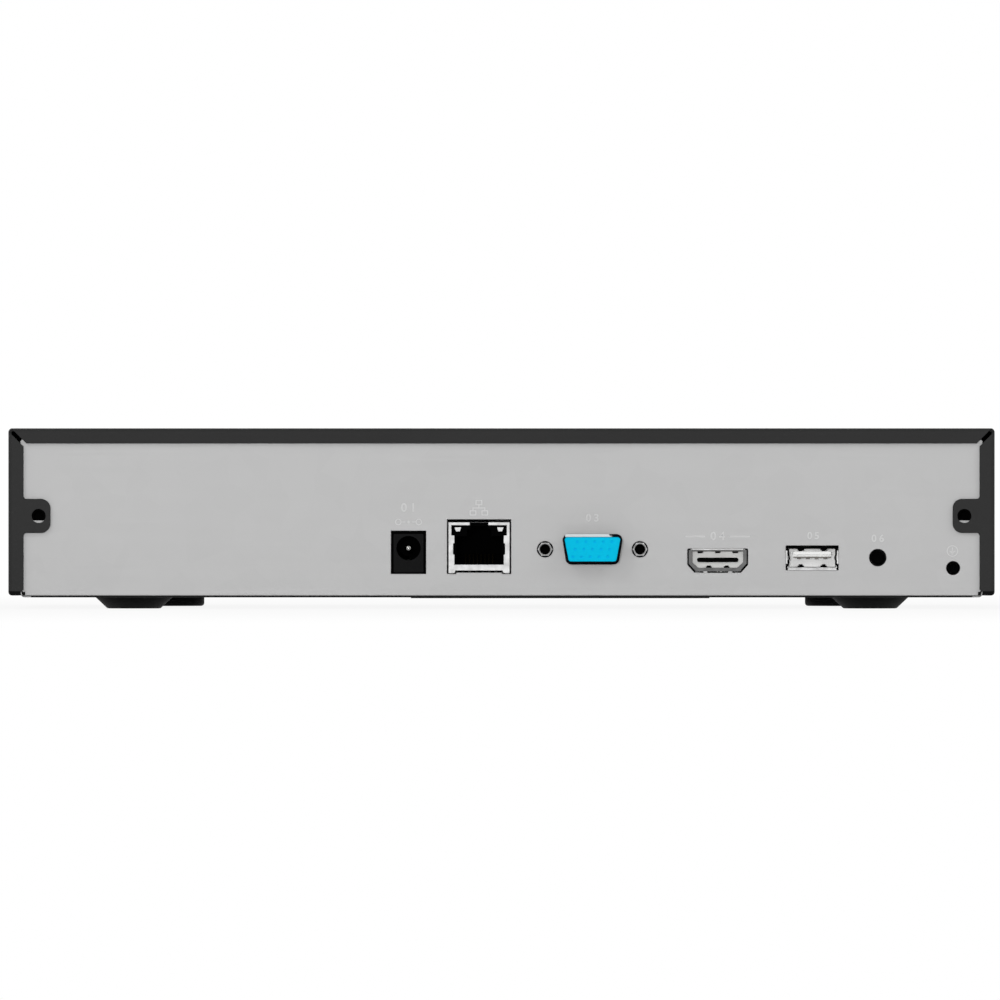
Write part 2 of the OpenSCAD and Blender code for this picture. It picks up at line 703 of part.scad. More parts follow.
// Base: bottom plate, rear panel, low side walls and front wall folded from one sheet
module base_chassis() {
    inner = base_half - sheet;
    pad_y1 = panel_y - pad_in;
    color("#bdbdbd") {
        difference() {
            union() {
                // Bottom plate with its front and rear folds
                along_x(-base_half + relief_w, base_half - relief_w) difference() {
                    round_rect([wall_y, foot_h], [rear_y, foot_h + 3 * bend_r], bend_r);
                    translate([wall_in_y, deck_z]) square([panel_y - wall_in_y, 3 * bend_r]);
                }
                // Bottom plate with its side walls
                along_y(wall_in_y + relief_w, panel_y - relief_w) difference() {
                    round_rect([-base_half, foot_h], [base_half, foot_h + wall_h + bend_r], bend_r);
                    translate([-inner, deck_z]) square([2 * inner, wall_h + 2 * bend_r]);
                    translate([-half_w, foot_h + wall_h]) square([case_w, 2 * bend_r]);
                }
                // Rear panel with cut upper corners
                along_y(panel_y, rear_y) polygon([
                    [-base_half, deck_z - 0.2], [base_half, deck_z - 0.2],
                        [base_half, panel_top - corner_cut],
                    [base_half - corner_cut, panel_top], [corner_cut - base_half, panel_top],
                    [-base_half, panel_top - corner_cut]]);
                // Front wall with the flange that the cover rests over
                block([-base_half, wall_y, deck_z], [base_half, wall_in_y, seat_z]);
                block([-base_half, wall_y, seat_z - sheet], [base_half, wall_in_y + seat_d, seat_z]);
                // Pressed pad
                block([pad_x - pad_w / 2, pad_y1 - pad_l, foot_h - pad_drop],
                    [pad_x + pad_w / 2, pad_y1, deck_z]);
            }
            along_y(panel_y - past, rear_y + past) port_cuts();
            block([pad_x - pad_w / 2 + sheet, pad_y1 - pad_l + sheet, deck_z - pad_drop],
                  [pad_x + pad_w / 2 - sheet, pad_y1 - sheet, deck_z + past]);
            for (p = disk_places) rod_z(p.x, p.y, disk_boss_d, foot_h - past, deck_z + past);
            for (p = screw_places) rod_z(p.x, p.y, screw_d + 2 * snug, foot_h - past, deck_z + past);
            both_sides() {
                rod_z(rear_foot_x, rear_y - rear_foot_in, foot_peg_d, foot_h - past, deck_z + past);
                rod_z(front_foot_x, front_y + front_foot_in, foot_peg_d, foot_h - past, deck_z + past);
            }
            // Window for the front cable, screw holes and slots for the bezel's hooks
            along_y(wall_y - past, wall_in_y + past) {
                translate([front_header_x, front_z]) square(cable_window, center = true);
                for (x = bezel_post_x) translate([x, front_z]) circle(d = screw_d + 2 * screw_gap);
                hook_row(low_hook_z, hook_gap);
                hook_row(high_hook_z, hook_gap);
            }
            // Ventilation slots in front of the main board
            for (i = [0:floor_vent_n - 1]) along_z(foot_h - past, deck_z + past)
                translate([floor_vent_l / 2 - base_half, board_y0 - floor_vent_in - floor_vent_step * i])
                    rotate(90) translate([0, -floor_vent_side]) slot(floor_vent_w, floor_vent_l);
        }
        for (p = disk_places) disk_boss(p.x, p.y);
    }
}

// Rubber foot with a peg through the bottom plate
module foot(x, y, top_d, face_d) {
    rod_z(x, y, foot_peg_d - 2 * snug, foot_h - foot_peg_root, deck_z + foot_peg_out);
    translate([x, y, 0]) cylinder(d1 = face_d, d2 = top_d, h = foot_h);
}

module rear_feet() {
    color("#161616") both_sides() foot(rear_foot_x, rear_y - rear_foot_in, rear_foot_d, rear_foot_face);
}

module front_feet() {
    edge = 0.8;
    hollow = 0.4;
    color("#101010") both_sides() difference() {
        translate([front_foot_x, front_y + front_foot_in, 0]) rotate_extrude() {
            translate([0, edge]) square([front_foot_d / 2, foot_h - edge]);
            square([front_foot_d / 2 - edge, edge]);
            translate([front_foot_d / 2 - edge, edge]) circle(edge);
            square([foot_peg_d / 2 - snug, deck_z + foot_peg_out]);
        }
        rod_z(front_foot_x, front_y + front_foot_in, front_foot_d / 2, -past, hollow);
    }
}

// Bezel profile in Y and Z, moved in by g from the outer face
function bezel_profile(g) = [
    [wall_y + g, foot_h + g], [front_y + chin_d + g, foot_h + g], [front_y + g, band_z + g / 2],
    [front_y + g, band_z + band_h - g / 2], [front_y + brow_d + g, case_h - g], [wall_y + g, case_h - g]];

// Section of the snap hooks' arms at height z, or their slots in the front wall when g is the clearance
module hook_row(z, g) {
    for (x = [-hook_x, 0, hook_x]) translate([x, z]) square([hook_w + 2 * g, hook_t + 2 * g],
        center = true);
}

// Bezel: hollow moulding open at the rear, with hooks, screw posts and openings for the lights and the
// USB socket
module front_bezel() {
    tip_y = wall_in_y + hook_gap;
    catch_y = wall_in_y + hook_gap / 2;
    side_r = 2.5;
    edge_r = 1.2;
    color("#1c1d1f") {
        difference() {
            intersection() {
                along_x(-half_w, half_w) polygon(bezel_profile(0));
                along_z(0, case_h) round_rect([-half_w, front_y], [half_w, wall_y + 2 * side_r], side_r);
                along_y(front_y, wall_y) round_rect([-half_w, foot_h], [half_w, case_h], edge_r);
            }
            difference() {
                along_x(-half_w + bezel_wall, half_w - bezel_wall) polygon(bezel_profile(bezel_wall));
                bezel_posts();
            }
            bezel_post_holes();
            along_x(-half_w - past, half_w + past)
                translate([front_y - past, band_z - groove_w]) square([past + groove_floor, groove_w]);
            along_y(front_y - past, bezel_in_y + past) {
                for (x = led_x) translate([x, front_z]) circle(d = light_d + 2 * snug);
                translate([front_usb_x, front_z]) square([usb_w, usb_h] + 2 * [cut_gap, cut_gap],
                    center = true);
            }
        }
        // Snap hooks, each with a catch behind the front wall
        along_y(front_y + chin_d, tip_y) hook_row(low_hook_z, 0);
        along_y(front_y + brow_d, tip_y) hook_row(high_hook_z, 0);
        for (x = [-hook_x, 0, hook_x] - [1, 1, 1] * hook_w / 2) {
            block([x, catch_y, low_hook_z - hook_catch],
                [x + hook_w, tip_y + hook_gap, low_hook_z + hook_t / 2]);
            block([x, catch_y, high_hook_z - hook_t / 2],
                [x + hook_w, tip_y + hook_gap, high_hook_z + hook_catch]);
        }
    }
}

// Posts inside the bezel: two for its own screws, two for the front board
module bezel_posts() {
    front_post_d = 5;
    for (x = bezel_post_x) rod_y(x, front_z, bezel_post_d, front_y, wall_y);
    for (x = front_post_x) rod_y(x, front_post_z, front_post_d, front_y, front_face_y);
}

module bezel_post_holes() {
    post_floor = bezel_in_y + 1;
    for (x = bezel_post_x) rod_y(x, front_z, screw_d + 2 * snug, post_floor, wall_y + past);
    for (x = front_post_x) rod_y(x, front_post_z, front_screw_d + 2 * snug, post_floor,
        front_face_y + past);
}

module light_pipes() {
    collar_d = 3.6;
    led_space = 2.4;
    color("#dfe6ea") for (x = led_x) {
        rod_y(x, front_z, light_d, front_y + 0.1, bezel_in_y);
        rod_y(x, front_z, collar_d, bezel_in_y, front_face_y - led_space);
    }
}

// A screw along Y whose head faces the rear, its seat at y
module screw_y(x, z, y, d, head, head_h, length) {
    translate([x, y, z]) rotate([-90, 0, 0]) screw_z(0, 0, 0, d, head, head_h, length);
}

module bezel_screws() {
    head_h = 2;
    screw_l = 8;
    color("#3a3a3c") for (x = bezel_post_x) screw_y(x, front_z, wall_in_y, screw_d, head_d, head_h,
        screw_l);
}

// Front board: lights and USB socket face the bezel, cable header faces the inside
module front_board() {
    color("#1f5a38") difference() {
        block([front_board_x, front_face_y, front_z - front_board_h / 2],
              [front_board_x + front_board_w, front_back_y, front_z + front_board_h / 2]);
        for (x = front_post_x)
            rod_y(x, front_post_z, front_screw_d + 2 * screw_gap, front_face_y - past,
                front_back_y + past);
    }
}

module front_board_screws() {
    head = 4;
    head_h = 1.2;
    screw_l = 5;
    color("#c8c8c8") for (x = front_post_x)
        screw_y(x, front_post_z, front_back_y, front_screw_d, head, head_h, screw_l);
}

module status_leds() {
    base = 3.2;
    base_t = 1;
    dome_t = 1.2;
    color("#e8f0e0") for (x = led_x) {
        block([x - base / 2, front_face_y - base_t, front_z - base / 2],
            [x + base / 2, front_face_y, front_z + base / 2]);
        rod_y(x, front_z, led_d, front_face_y - base_t - dome_t, front_face_y - base_t);
    }
}

// USB type A shell, its mouth at y1 facing +Y, closed at y1 - l
module usb_shell(x, z, y1, l) {
    low = [x - usb_w / 2, y1 - l, z - usb_h / 2];
    high = [x + usb_w / 2, y1, z + usb_h / 2];
    wall = [usb_skin, usb_skin, usb_skin];
    window = [1.8, 5, 1];
    window_in = 4.5;
    difference() {
        block(low, high);
        block(low + wall, high + [-usb_skin, past, -usb_skin]);
        // Spring windows above and below
        for (s = [-1, 1], side = [-1, 1])
            translate([x + s * usb_spring_x, y1 - window_in, z + side * usb_h / 2]) cube(window,
                center = true);
    }
}

// Tongue of a USB socket with its four contacts on the underside
module usb_tongue(x, z, y1, l) {
    inside = [usb_w / 2 - usb_skin - snug, usb_h / 2 - usb_skin - snug];
    root_y = y1 - l + 4;
    contact = [1, 0.25];
    contact_step = 2.3;
    high = z + usb_h / 2 - usb_skin - usb_tongue_gap;
    low = high - usb_tongue_t;
    block([x - inside.x, y1 - l + usb_skin, z - inside.y], [x + inside.x, root_y, z + inside.y]);
    block([x - usb_tongue_w / 2, root_y, low], [x + usb_tongue_w / 2, y1 - 1, high]);
    for (i = [-1.5:1.5]) let(cx = x + i * contact_step)
        block([cx - contact.x / 2, root_y, low - contact.y], [cx + contact.x / 2, y1 - 2.2, low]);
}

// The front socket is the rear one turned to face the bezel
module front_usb_shell() {
    color("#c9ccce") mirror([0, 1, 0]) usb_shell(front_usb_x, front_z, -front_y - shell_out, front_usb_l);
}

module front_usb_tongue() {
    color("#e9e9e6") mirror([0, 1, 0]) usb_tongue(front_usb_x, front_z, -front_y - shell_out,
        front_usb_l);
}

module front_board_header() {
    color("#ece7d8") difference() {
        block([front_header_x - ribbon_head.x / 2, front_back_y, front_z - front_head_h / 2],
              [front_header_x + ribbon_head.x / 2, front_back_y + front_head_d,
                  front_z + front_head_h / 2]);
        block([front_header_x - ribbon_head.x / 2 + head_wall, front_back_y + head_wall,
            front_z - front_head_h / 2 + head_wall],
              [front_header_x + ribbon_head.x / 2 - head_wall, front_back_y + front_head_d + past,
               front_z + front_head_h / 2 - head_wall]);
    }
}

// Main board --------------------------------------------------------------------------------------

// A place on the main board's top face, measured from its left end and its front edge, or its rear edge
function from_front(p) = [board_x0 + p.x, board_y0 + p.y, top_z];
function from_rear(p) = [board_x0 + p.x, board_y1 - p.y, top_z];

module main_board() {
    corner_r = 1.5;
    color("#1c5c38") difference() {
        along_z(board_z, top_z) round_rect([board_x0, board_y0], [board_x1, board_y1], corner_r);
        for (p = screw_places) rod_z(p.x, p.y, screw_d + 2 * screw_gap, board_z - past, top_z + past);
    }
}

module board_standoffs() {
    color("#c2b280") for (p = screw_places) difference() {
        rod_z(p.x, p.y, standoff_d, deck_z, board_z);
        rod_z(p.x, p.y, screw_d + 2 * snug, deck_z - past, board_z + past);
    }
}

module board_screws() {
    head_h = 1.9;
    tip_gap = 0.5;
    color("#cfcfcf") for (p = screw_places)
        screw_z(p.x, p.y, top_z, screw_d, head_d, head_h, board_t + board_gap - tip_gap);
}

// Power jack: square housing, round mouth to the rear
module dc_jack_housing() {
    axis_z = top_z + dc_axis;
    color("#141414") difference() {
        block([dc_x - dc_w / 2, dc_y1 - dc_l, top_z], [dc_x + dc_w / 2, dc_y1, top_z + dc_h]);
        rod_y(dc_x, axis_z, dc_bore, dc_y1 - dc_bore_l, dc_y1 + past);
        rod_y(dc_x, axis_z, dc_pin_d + 2 * snug, dc_y1 - dc_pin_root - 0.2, dc_y1);
        block([dc_x - dc_slot_w / 2, dc_y1 - dc_bore_l, top_z - past],
            [dc_x + dc_slot_w / 2, dc_y1 - dc_slot_in, axis_z]);
    }
}

module dc_jack_pin() {
    axis_z = top_z + dc_axis;
    tip_y = dc_y1 - 1.8;
    color("#c9c9c4") {
        rod_y(dc_x, axis_z, dc_pin_d, dc_y1 - dc_pin_root, tip_y);
        translate([dc_x, tip_y, axis_z]) sphere(d = dc_pin_d);
    }
}

module dc_jack_spring() {
    side_gap = 0.3;
    color("#cfcdc2") block([dc_x - dc_slot_w / 2 + side_gap, dc_y1 - dc_bore_l + 2 * side_gap, top_z],
                           [dc_x + dc_slot_w / 2 - side_gap, dc_y1 - dc_slot_in - 2 * side_gap,
                            top_z + dc_axis - dc_bore / 2 + side_gap]);
}

// Network jack: folded metal shell round a black insert, plug latch upwards
module lan_mouth() {
    translate([lan_x, lan_z0]) {
        translate([-lan_mouth_w / 2, lan_sill]) square([lan_mouth_w, lan_shelf - lan_sill + past]);
        translate([-lan_upper_w / 2, lan_shelf]) square([lan_upper_w, lan_h - lan_brow - lan_shelf]);
        translate([-lan_latch_w / 2, lan_shelf]) square([lan_latch_w, lan_h]);
    }
}

module network_jack_shell() {
    high = [lan_x + lan_w / 2, lan_y1, lan_z0 + lan_h];
    low = [lan_x - lan_w / 2, lan_y0, lan_z0];
    foot = [1.2, 1.5];
    color("#d6d8da") {
        difference() {
            block(low, high);
            block(low + [lan_skin, lan_skin, -past], high - lan_skin * [1, 1, 1]);
            along_y(high.y - past, high.y + past) lan_mouth();
            block([lan_x - lan_latch_w / 2, high.y - 3, high.z - past],
                [lan_x + lan_latch_w / 2, high.y, high.z + past]);
        }
        // Feet that stand on the board, and the lips at the mouth's lower corners
        for (x = [low.x, high.x - foot.x], y = [low.y + 1, high.y - 4])
            block([x, y, top_z], [x + foot.x, y + foot.y, lan_z0]);
        for (x = [low.x, high.x - lan_ear]) block([x, high.y - lan_skin, lan_z0 - lan_lip],
            [x + lan_ear, high.y, lan_z0]);
    }
}

module network_jack_insert() {
    inside = lan_w / 2 - lan_skin - snug;
    plug_top = lan_shelf - 0.3;
    latch_w = [6.4, 4.4];
    latch_z = [1.8, 3.2];
    color("#121212") difference() {
        block([lan_x - inside, lan_y0 + lan_skin + snug, lan_z0],
              [lan_x + inside, lan_y1 - lan_skin - snug, lan_z0 + lan_h - lan_skin - snug]);
        along_y(lan_y1 - lan_room_l, lan_y1 + past) translate([lan_x, lan_z0]) {
            translate([-lan_room_w / 2, lan_sill + 0.45]) square([lan_room_w,
                plug_top - lan_sill - 0.45]);
            translate([-latch_w[0] / 2, plug_top - past]) square([latch_w[0], past + latch_z[0]]);
            translate([-latch_w[1] / 2, plug_top - past]) square([latch_w[1], past + latch_z[1]]);
        }
        for (i = [-3.5:3.5]) translate([lan_x + i * lan_pitch - lan_slot_w / 2, 0, 0])
            block([0, lan_y1 - lan_slot_l, lan_z0 + 1.4], [lan_slot_w, lan_y1 - 3, lan_z0 + 3]);
    }
}

module network_jack_contacts() {
    wire = 0.4;
    color("#d9b25a") for (i = [-3.5:3.5])
        along_x(lan_x + i * lan_pitch - wire / 2, lan_x + i * lan_pitch + wire / 2) translate([lan_y1,
            lan_z0]) polygon([
            [0.1 - lan_slot_l, 1.5], [-3.2, 1.5], [-3.2, 1.5 + wire], [-11.8, 4.6], [-12.7, 4.6],
                [-12.9, 2.9],
            [0.1 - lan_slot_l, 2.9]]);
}

// VGA socket: plated shell with its flange behind the rear panel, blue insert and two jack nuts
module vga_shell() {
    corner_r = 1.2;
    color("#c4c7c9") difference() {
        union() {
            along_y(vga_flange_y1 - vga_flange_t, vga_flange_y1) translate([vga_x, vga_z])
                round_rect(-vga_flange / 2, vga_flange / 2, corner_r);
            along_y(vga_flange_y1, rear_y + vga_out) translate([vga_x, vga_z]) d_outline(0);
        }
        along_y(vga_flange_y1 - past, rear_y + vga_out + past) translate([vga_x,
            vga_z]) d_outline(-vga_skin);
        for (s = [-1, 1])
            rod_y(vga_x + s * nut_pitch / 2, vga_z, nut_d + 2 * snug, vga_flange_y1 - 2 * vga_flange_t,
                rear_y);
    }
}

module vga_insert() {
    hole_step = 2.29;
    row_step = 1.98;
    hole_d = 1;
    back_l = 8;
    face_in = 0.4;
    back_y = vga_flange_y1 - vga_flange_t;
    color("#02b4e5") difference() {
        union() {
            along_y(back_y, rear_y + vga_out - face_in) translate([vga_x,
                vga_z]) d_outline(-vga_skin - snug);
            block([vga_x - vga_flange.x / 2, back_y - back_l, top_z],
                  [vga_x + vga_flange.x / 2, back_y, vga_z + vga_flange.y / 2 - vga_flange_t]);
        }
        for (row = [-1:1], i = [-2:2])
            rod_y(vga_x + (i - row * 0.25) * hole_step, vga_z + row * row_step, hole_d, rear_y,
                rear_y + vga_out);
        for (s = [-1, 1]) rod_y(vga_x + s * nut_pitch / 2, vga_z, nut_d + 2 * snug,
            back_y - back_l - past, back_y + past);
    }
}

module vga_jack_nuts() {
    nut_l = 7.4;
    nut_out = 0.6;
    thread_l = 6;
    color("#d2d4d4") for (s = [-1, 1]) translate([vga_x + s * nut_pitch / 2, rear_y + nut_out,
        vga_z]) difference() {
        rod_y(0, 0, nut_d, -nut_l, 0);
        rod_y(0, 0, nut_bore, -thread_l, past);
    }
}

module hdmi_shell() {
    window = [1.3, 3.6, 1];
    window_in = 3.4;
    window_step = 4.4;
    foot = [1, 3];
    foot_step = 10;
    color("#cdd0d2") {
        difference() {
            along_y(shell_y1 - hdmi_l, shell_y1) translate([hdmi_x,
                hdmi_z0 + hdmi_h / 2]) hdmi_outline(0);
            along_y(shell_y1 - hdmi_l + hdmi_skin, shell_y1 + past)
                translate([hdmi_x, hdmi_z0 + hdmi_h / 2]) hdmi_outline(-hdmi_skin);
            for (i = [-1:1]) translate([hdmi_x + i * window_step, shell_y1 - window_in, hdmi_z0 + hdmi_h])
                cube(window, center = true);
        }
        for (s = [-1, 1]) translate([hdmi_x + (s * foot_step - foot.x) / 2, shell_y1 - 3 * foot.y, top_z])
            cube([foot.x, foot.y, hdmi_rise]);
    }
}

module hdmi_tongue() {
    z = hdmi_z0 + hdmi_h / 2 + 0.1;
    back_y = shell_y1 - hdmi_l + hdmi_skin;
    color("#17181a") {
        along_y(back_y, shell_y1 - 1) translate([hdmi_x, z]) square(hdmi_tongue_size, center = true);
        along_y(back_y, back_y + hdmi_root) translate([hdmi_x,
            hdmi_z0 + hdmi_h / 2]) hdmi_outline(-hdmi_skin - snug);
    }
}

module rear_usb_shell() {
    z = top_z + usb_rise + usb_h / 2;
    foot = [0.8, 3];
    foot_step = usb_w - 1.3;
    color("#cdd0d2") {
        usb_shell(usb_x, z, shell_y1, usb_l);
        for (s = [-1, 1]) translate([usb_x + (s * foot_step - foot.x) / 2, shell_y1 - usb_l + foot.y,
            top_z])
            cube([foot.x, foot.y, usb_rise]);
    }
}

module rear_usb_tongue() {
    color("#f2f2ee") usb_tongue(usb_x, top_z + usb_rise + usb_h / 2, shell_y1, usb_l);
}

// Reset switch with a side plunger that is pushed through the panel's round hole
module reset_switch() {
    half = reset_d / 2 + 1.8;
    play = 0.3;
    color("#1a1a1a") difference() {
        block([reset_x - half, reset_body_y1 - reset_body_l, top_z],
            [reset_x + half, reset_body_y1, reset_z + half]);
        rod_y(reset_x, reset_z, reset_d + 2 * play, reset_body_y1 - reset_in - reset_travel - 0.1,
            reset_body_y1 + past);
    }
}

module reset_button() {
    color("#0c0c0c") rod_y(reset_x, reset_z, reset_d, reset_body_y1 - reset_in, panel_y - reset_back);
}

// Clinch nut pressed into the rear panel behind the earth screw hole
module earth_nut() {
    wall = 1.8;
    height = 3;
    color("#b9b9b4") difference() {
        rod_y(earth_x, earth_z, earth_d + 2 * wall, panel_y - height, panel_y);
        rod_y(earth_x, earth_z, earth_d, panel_y - height - past, panel_y + past);
    }
}

// Processor, thermal pad and finned heat sink with two spring pins
module processor() {
    base = 0.3;
    margin = 1;
    translate(from_rear(sink_at)) color("#222326") {
        translate([-chip_w / 2, -chip_w / 2, base]) cube([chip_w, chip_w, chip_t - base]);
        translate([margin - chip_w / 2, margin - chip_w / 2, 0]) cube([chip_w - 2 * margin,
            chip_w - 2 * margin, base]);
    }
}

module thermal_pad() {
    color("#a9b4b8") translate(from_rear(sink_at) + [-chip_w / 2, -chip_w / 2, chip_t]) cube([chip_w,
        chip_w, pad_t]);
}

module heat_sink() {
    at = from_rear(sink_at) + [0, 0, chip_t + pad_t];
    fin_t = 1.2;
    fin_step = (sink_w - fin_t) / (fin_n - 1);
    seat_d = 7;
    color("#26282b") difference() {
        union() {
            translate(at + [-sink_w / 2, -sink_w / 2, 0]) cube([sink_w, sink_w, sink_base]);
            for (i = [0:fin_n - 1])
                translate(at + [-sink_w / 2 + i * fin_step, -sink_w / 2, 0]) cube([fin_t, sink_w,
                    sink_h]);
        }
        for (s = [-1, 1]) translate(at + s * pin_off * [1, -1, 0]) {
            translate([0, 0, sink_base]) cylinder(d = seat_d, h = sink_h);
            translate([0, 0, -past]) cylinder(d = pin_d + 2 * pin_gap, h = sink_h);
        }
    }
}

module heat_sink_pins() {
    head = 5.6;
    head_h = 5;
    seat_z = chip_t + pad_t + sink_base;
    color("#d8d8d0") for (s = [-1, 1]) translate(from_rear(sink_at) + s * pin_off * [1, -1, 0]) {
        cylinder(d = pin_d, h = seat_z + head_h - 0.5);
        translate([0, 0, seat_z]) cylinder(d = head, h = head_h);
    }
}

module memory_chips() {
    size = [9, 13, 1.1];
    beside = sink_w / 2 + 8;
    step = size.y + 2;
    color("#232427") for (s = [-1, 1]) translate(from_rear(sink_at) + [-beside, s * step / 2, size.z / 2])
        cube(size, center = true);
}

module network_transformer() {
    size = [14, 9, 5.4];
    color("#1b1b1c") leaded_chip(lan_x, lan_y0 - size.y, size, 8);
}

// Power converters beside their coils, the network chip, and the USB power switch
module regulators() {
    converter = [5, 4, 1.6];
    network_chip = [8, 8, 1.2];
    usb_switch = [6, 4, 1.7];
    beside = 10.8;
    behind = [26, 42];
    network_behind = 28;
    switch_off = [8, 16];
    color("#202123") {
        for (y = behind) leaded_chip(dc_x - beside, dc_y1 - dc_l - y, converter, 4);
        leaded_chip(lan_x, lan_y0 - network_behind, network_chip, 8);
        leaded_chip(usb_x - switch_off.x, shell_y1 - usb_l - switch_off.y, usb_switch, 4);
    }
}

module inductors() {
    base = [7.2, 7.2, 1];
    coil = [6.6, 3.8];
    beside = 4;
    behind = [10, 21, 32];
    color("#3c3c3e") for (y = behind) translate([dc_x - beside, dc_y1 - dc_l - y, top_z]) {
        translate([-base.x / 2, -base.y / 2, 0]) cube(base);
        cylinder(d = coil[0], h = coil[1]);
    }
}

// Aluminium can capacitors on square bases: place from the rear edge, and diameter
module capacitors() {
    base_h = 1;
    margin = 0.2;
    rise = 1.6;
    large = 8;
    small = 6.3;
    beside = 8;
    behind = [22, 33, 44];
    vga_off = [12, 30];
    places = [[dc_x + beside, behind[0], large], [dc_x + beside, behind[1], large],
              [dc_x + beside, behind[2], small], [vga_x + vga_off.x, vga_off.y, small]];
    color("#b8bcc0") for (p = places) translate([p.x, board_y1 - p.y, top_z]) let(base = p[2] + 2 * margin) {
        translate([-base / 2, -base / 2, 0]) cube([base, base, base_h]);
        cylinder(d = p[2], h = p[2] + rise);
    }
}

module crystals() {
    size = [4.4, 11, 3.5];
    rear_in = 16;
    hdmi_off = 3;
    vga_off = 6;
    color("#c8cacb") for (x = [hdmi_x - hdmi_off, vga_x + vga_off]) along_z(top_z, top_z + size.z)
        translate([x, board_y1 - rear_in]) rotate(90) slot(size.x, size.y);
}

module coin_cell() {
    color("#c6c8c8") translate(from_front(cell_at) + [0, 0, cell_floor]) cylinder(d = cell_d, h = cell_h);
}

module coin_cell_holder() {
    wall = 1.5;
    clip = [8, 5];
    color("#19191a") translate(from_front(cell_at)) difference() {
        union() {
            cylinder(d = cell_d + 2 * wall, h = cell_h);
            translate([-cell_d / 2 - wall, -clip.x / 2, 0]) cube([cell_d + 2 * wall, clip.x, clip.y]);
        }
        translate([0, 0, cell_floor]) cylinder(d = cell_d + 2 * snug, h = clip.y);
    }
}

module buzzer() {
    hole_d = 2;
    floor_h = 4;
    color("#151515") translate(from_front(buzzer_at)) difference() {
        cylinder(d = buzzer_d, h = buzzer_h);
        translate([0, 0, floor_h]) cylinder(d = hole_d, h = buzzer_h);
    }
}

// An open-topped cable socket of the given outer size, with the given room for its plug
module open_head(at, size, room) {
    difference() {
        translate(at - [size.x / 2, size.y / 2, 0]) cube(size);
        translate(at + [-room.x / 2, -room.y / 2, size.z - room.z]) cube(room + [0, 0, past]);
    }
}

// White board sockets for the disk's data and power cables and for the front cable
module board_headers() {
    color("#e8e3d4") {
        open_head(from_front(data_at), data_head, data_room);
        open_head(from_front(power_at), power_head, power_head - [2, 2, 1.5] * head_wall);
        open_head(from_front(ribbon_at), ribbon_head, ribbon_head - [2, 2, 1.5] * head_wall);
    }
}

// Cables and their plugs --------------------------------------------------------------------------

plug_z = disk_z0 + 4.2;
data_plug = [12, 14, 5.2];
power_plug = [13, 23, 5.6];
data_plug_y = disk_y1 - 13;
power_plug_y = disk_y1 - 34;
data_plug_x = disk_x0 - data_plug.x;
power_plug_x = disk_x0 - power_plug.x;
data_top = from_front(data_at) + [0, 0, 2 * data_head.z];
power_top = from_front(power_at) + [0, 0, power_head.z + 4];
ribbon_top = from_front(ribbon_at) + [0, 0, ribbon_head.z + 3];
ribbon_from = [front_header_x, front_back_y + front_head_d + 3, front_z];
// Bends of the two disk cables: X and Y as shares of the way from the disk to the board, Z in millimetres
data_bends = [[0.12, 0, 0], [0.34, 0.02, 1.5], [0.56, 0.11, 7], [0.78, 0.28, 15], [0.91, 0.48, 22]];
power_bends = [[0.09, 0, 0], [0.31, 0, 0.8], [0.56, 0.04, 4.5], [0.76, 0.16, 11], [0.89, 0.35, 18],
               [0.96, 0.58, 22]];
function bend_at(from, to, b) = from + [(to.x - from.x) * b.x, (to.y - from.y) * b.y, b.z];
data_from = [data_plug_x, data_plug_y, plug_z];
power_from = [power_plug_x, power_plug_y, plug_z];

// A route's fixed ends with the points between them, and one point in line with each plug
data_route = smooth(concat([data_from], [for (b = data_bends) bend_at(data_from, data_top, b)],
    [data_top + [-1, -6, 9], data_top + [0, -0.8, 7], data_top + [0, 0, 3], data_top]), 4);
power_route = smooth(concat([power_from], [for (b = power_bends) bend_at(power_from, power_top, b)],
    [power_top + [-1, -8, 12], power_top + [0, -1.5, 8], power_top + [0, 0, 3], power_top]), 4);
ribbon_route = smooth([ribbon_from, ribbon_from + [0, 2.5, 0], ribbon_from + [0, 8, -2],
    ribbon_from + [0, 14, -9],
    [front_header_x, ribbon_from.y + 24, deck_z + 2.5],
        [front_header_x, (ribbon_from.y + board_y0) / 2, deck_z + 1.2],
    [front_header_x, board_y0 - 16, deck_z + 2.5], [front_header_x, board_y0 - 7, deck_z + 9],
    ribbon_top + [0, -6.5, 5.5], ribbon_top + [0, -1.4, 5.5], ribbon_top + [0, 0, 2], ribbon_top], 4);

module disk_data_cable() {
    color("#2a2c30") tube(data_route, flat_section(6.4, 1.8));
}

module disk_power_cable() {
    wires = ["#d9b400", "#18181a", "#18181a", "#b3261e"];
    wire_d = 1.7;
    wire_step = 2.2;
    for (i = [0:3]) color(wires[i]) tube(power_route, round_section(wire_d),
        offset_w = (i - 1.5) * wire_step);
}

module front_cable() {
    color("#8d9196") tube(ribbon_route, flat_section(10.2, 0.9), turn = [1, 1]);
}

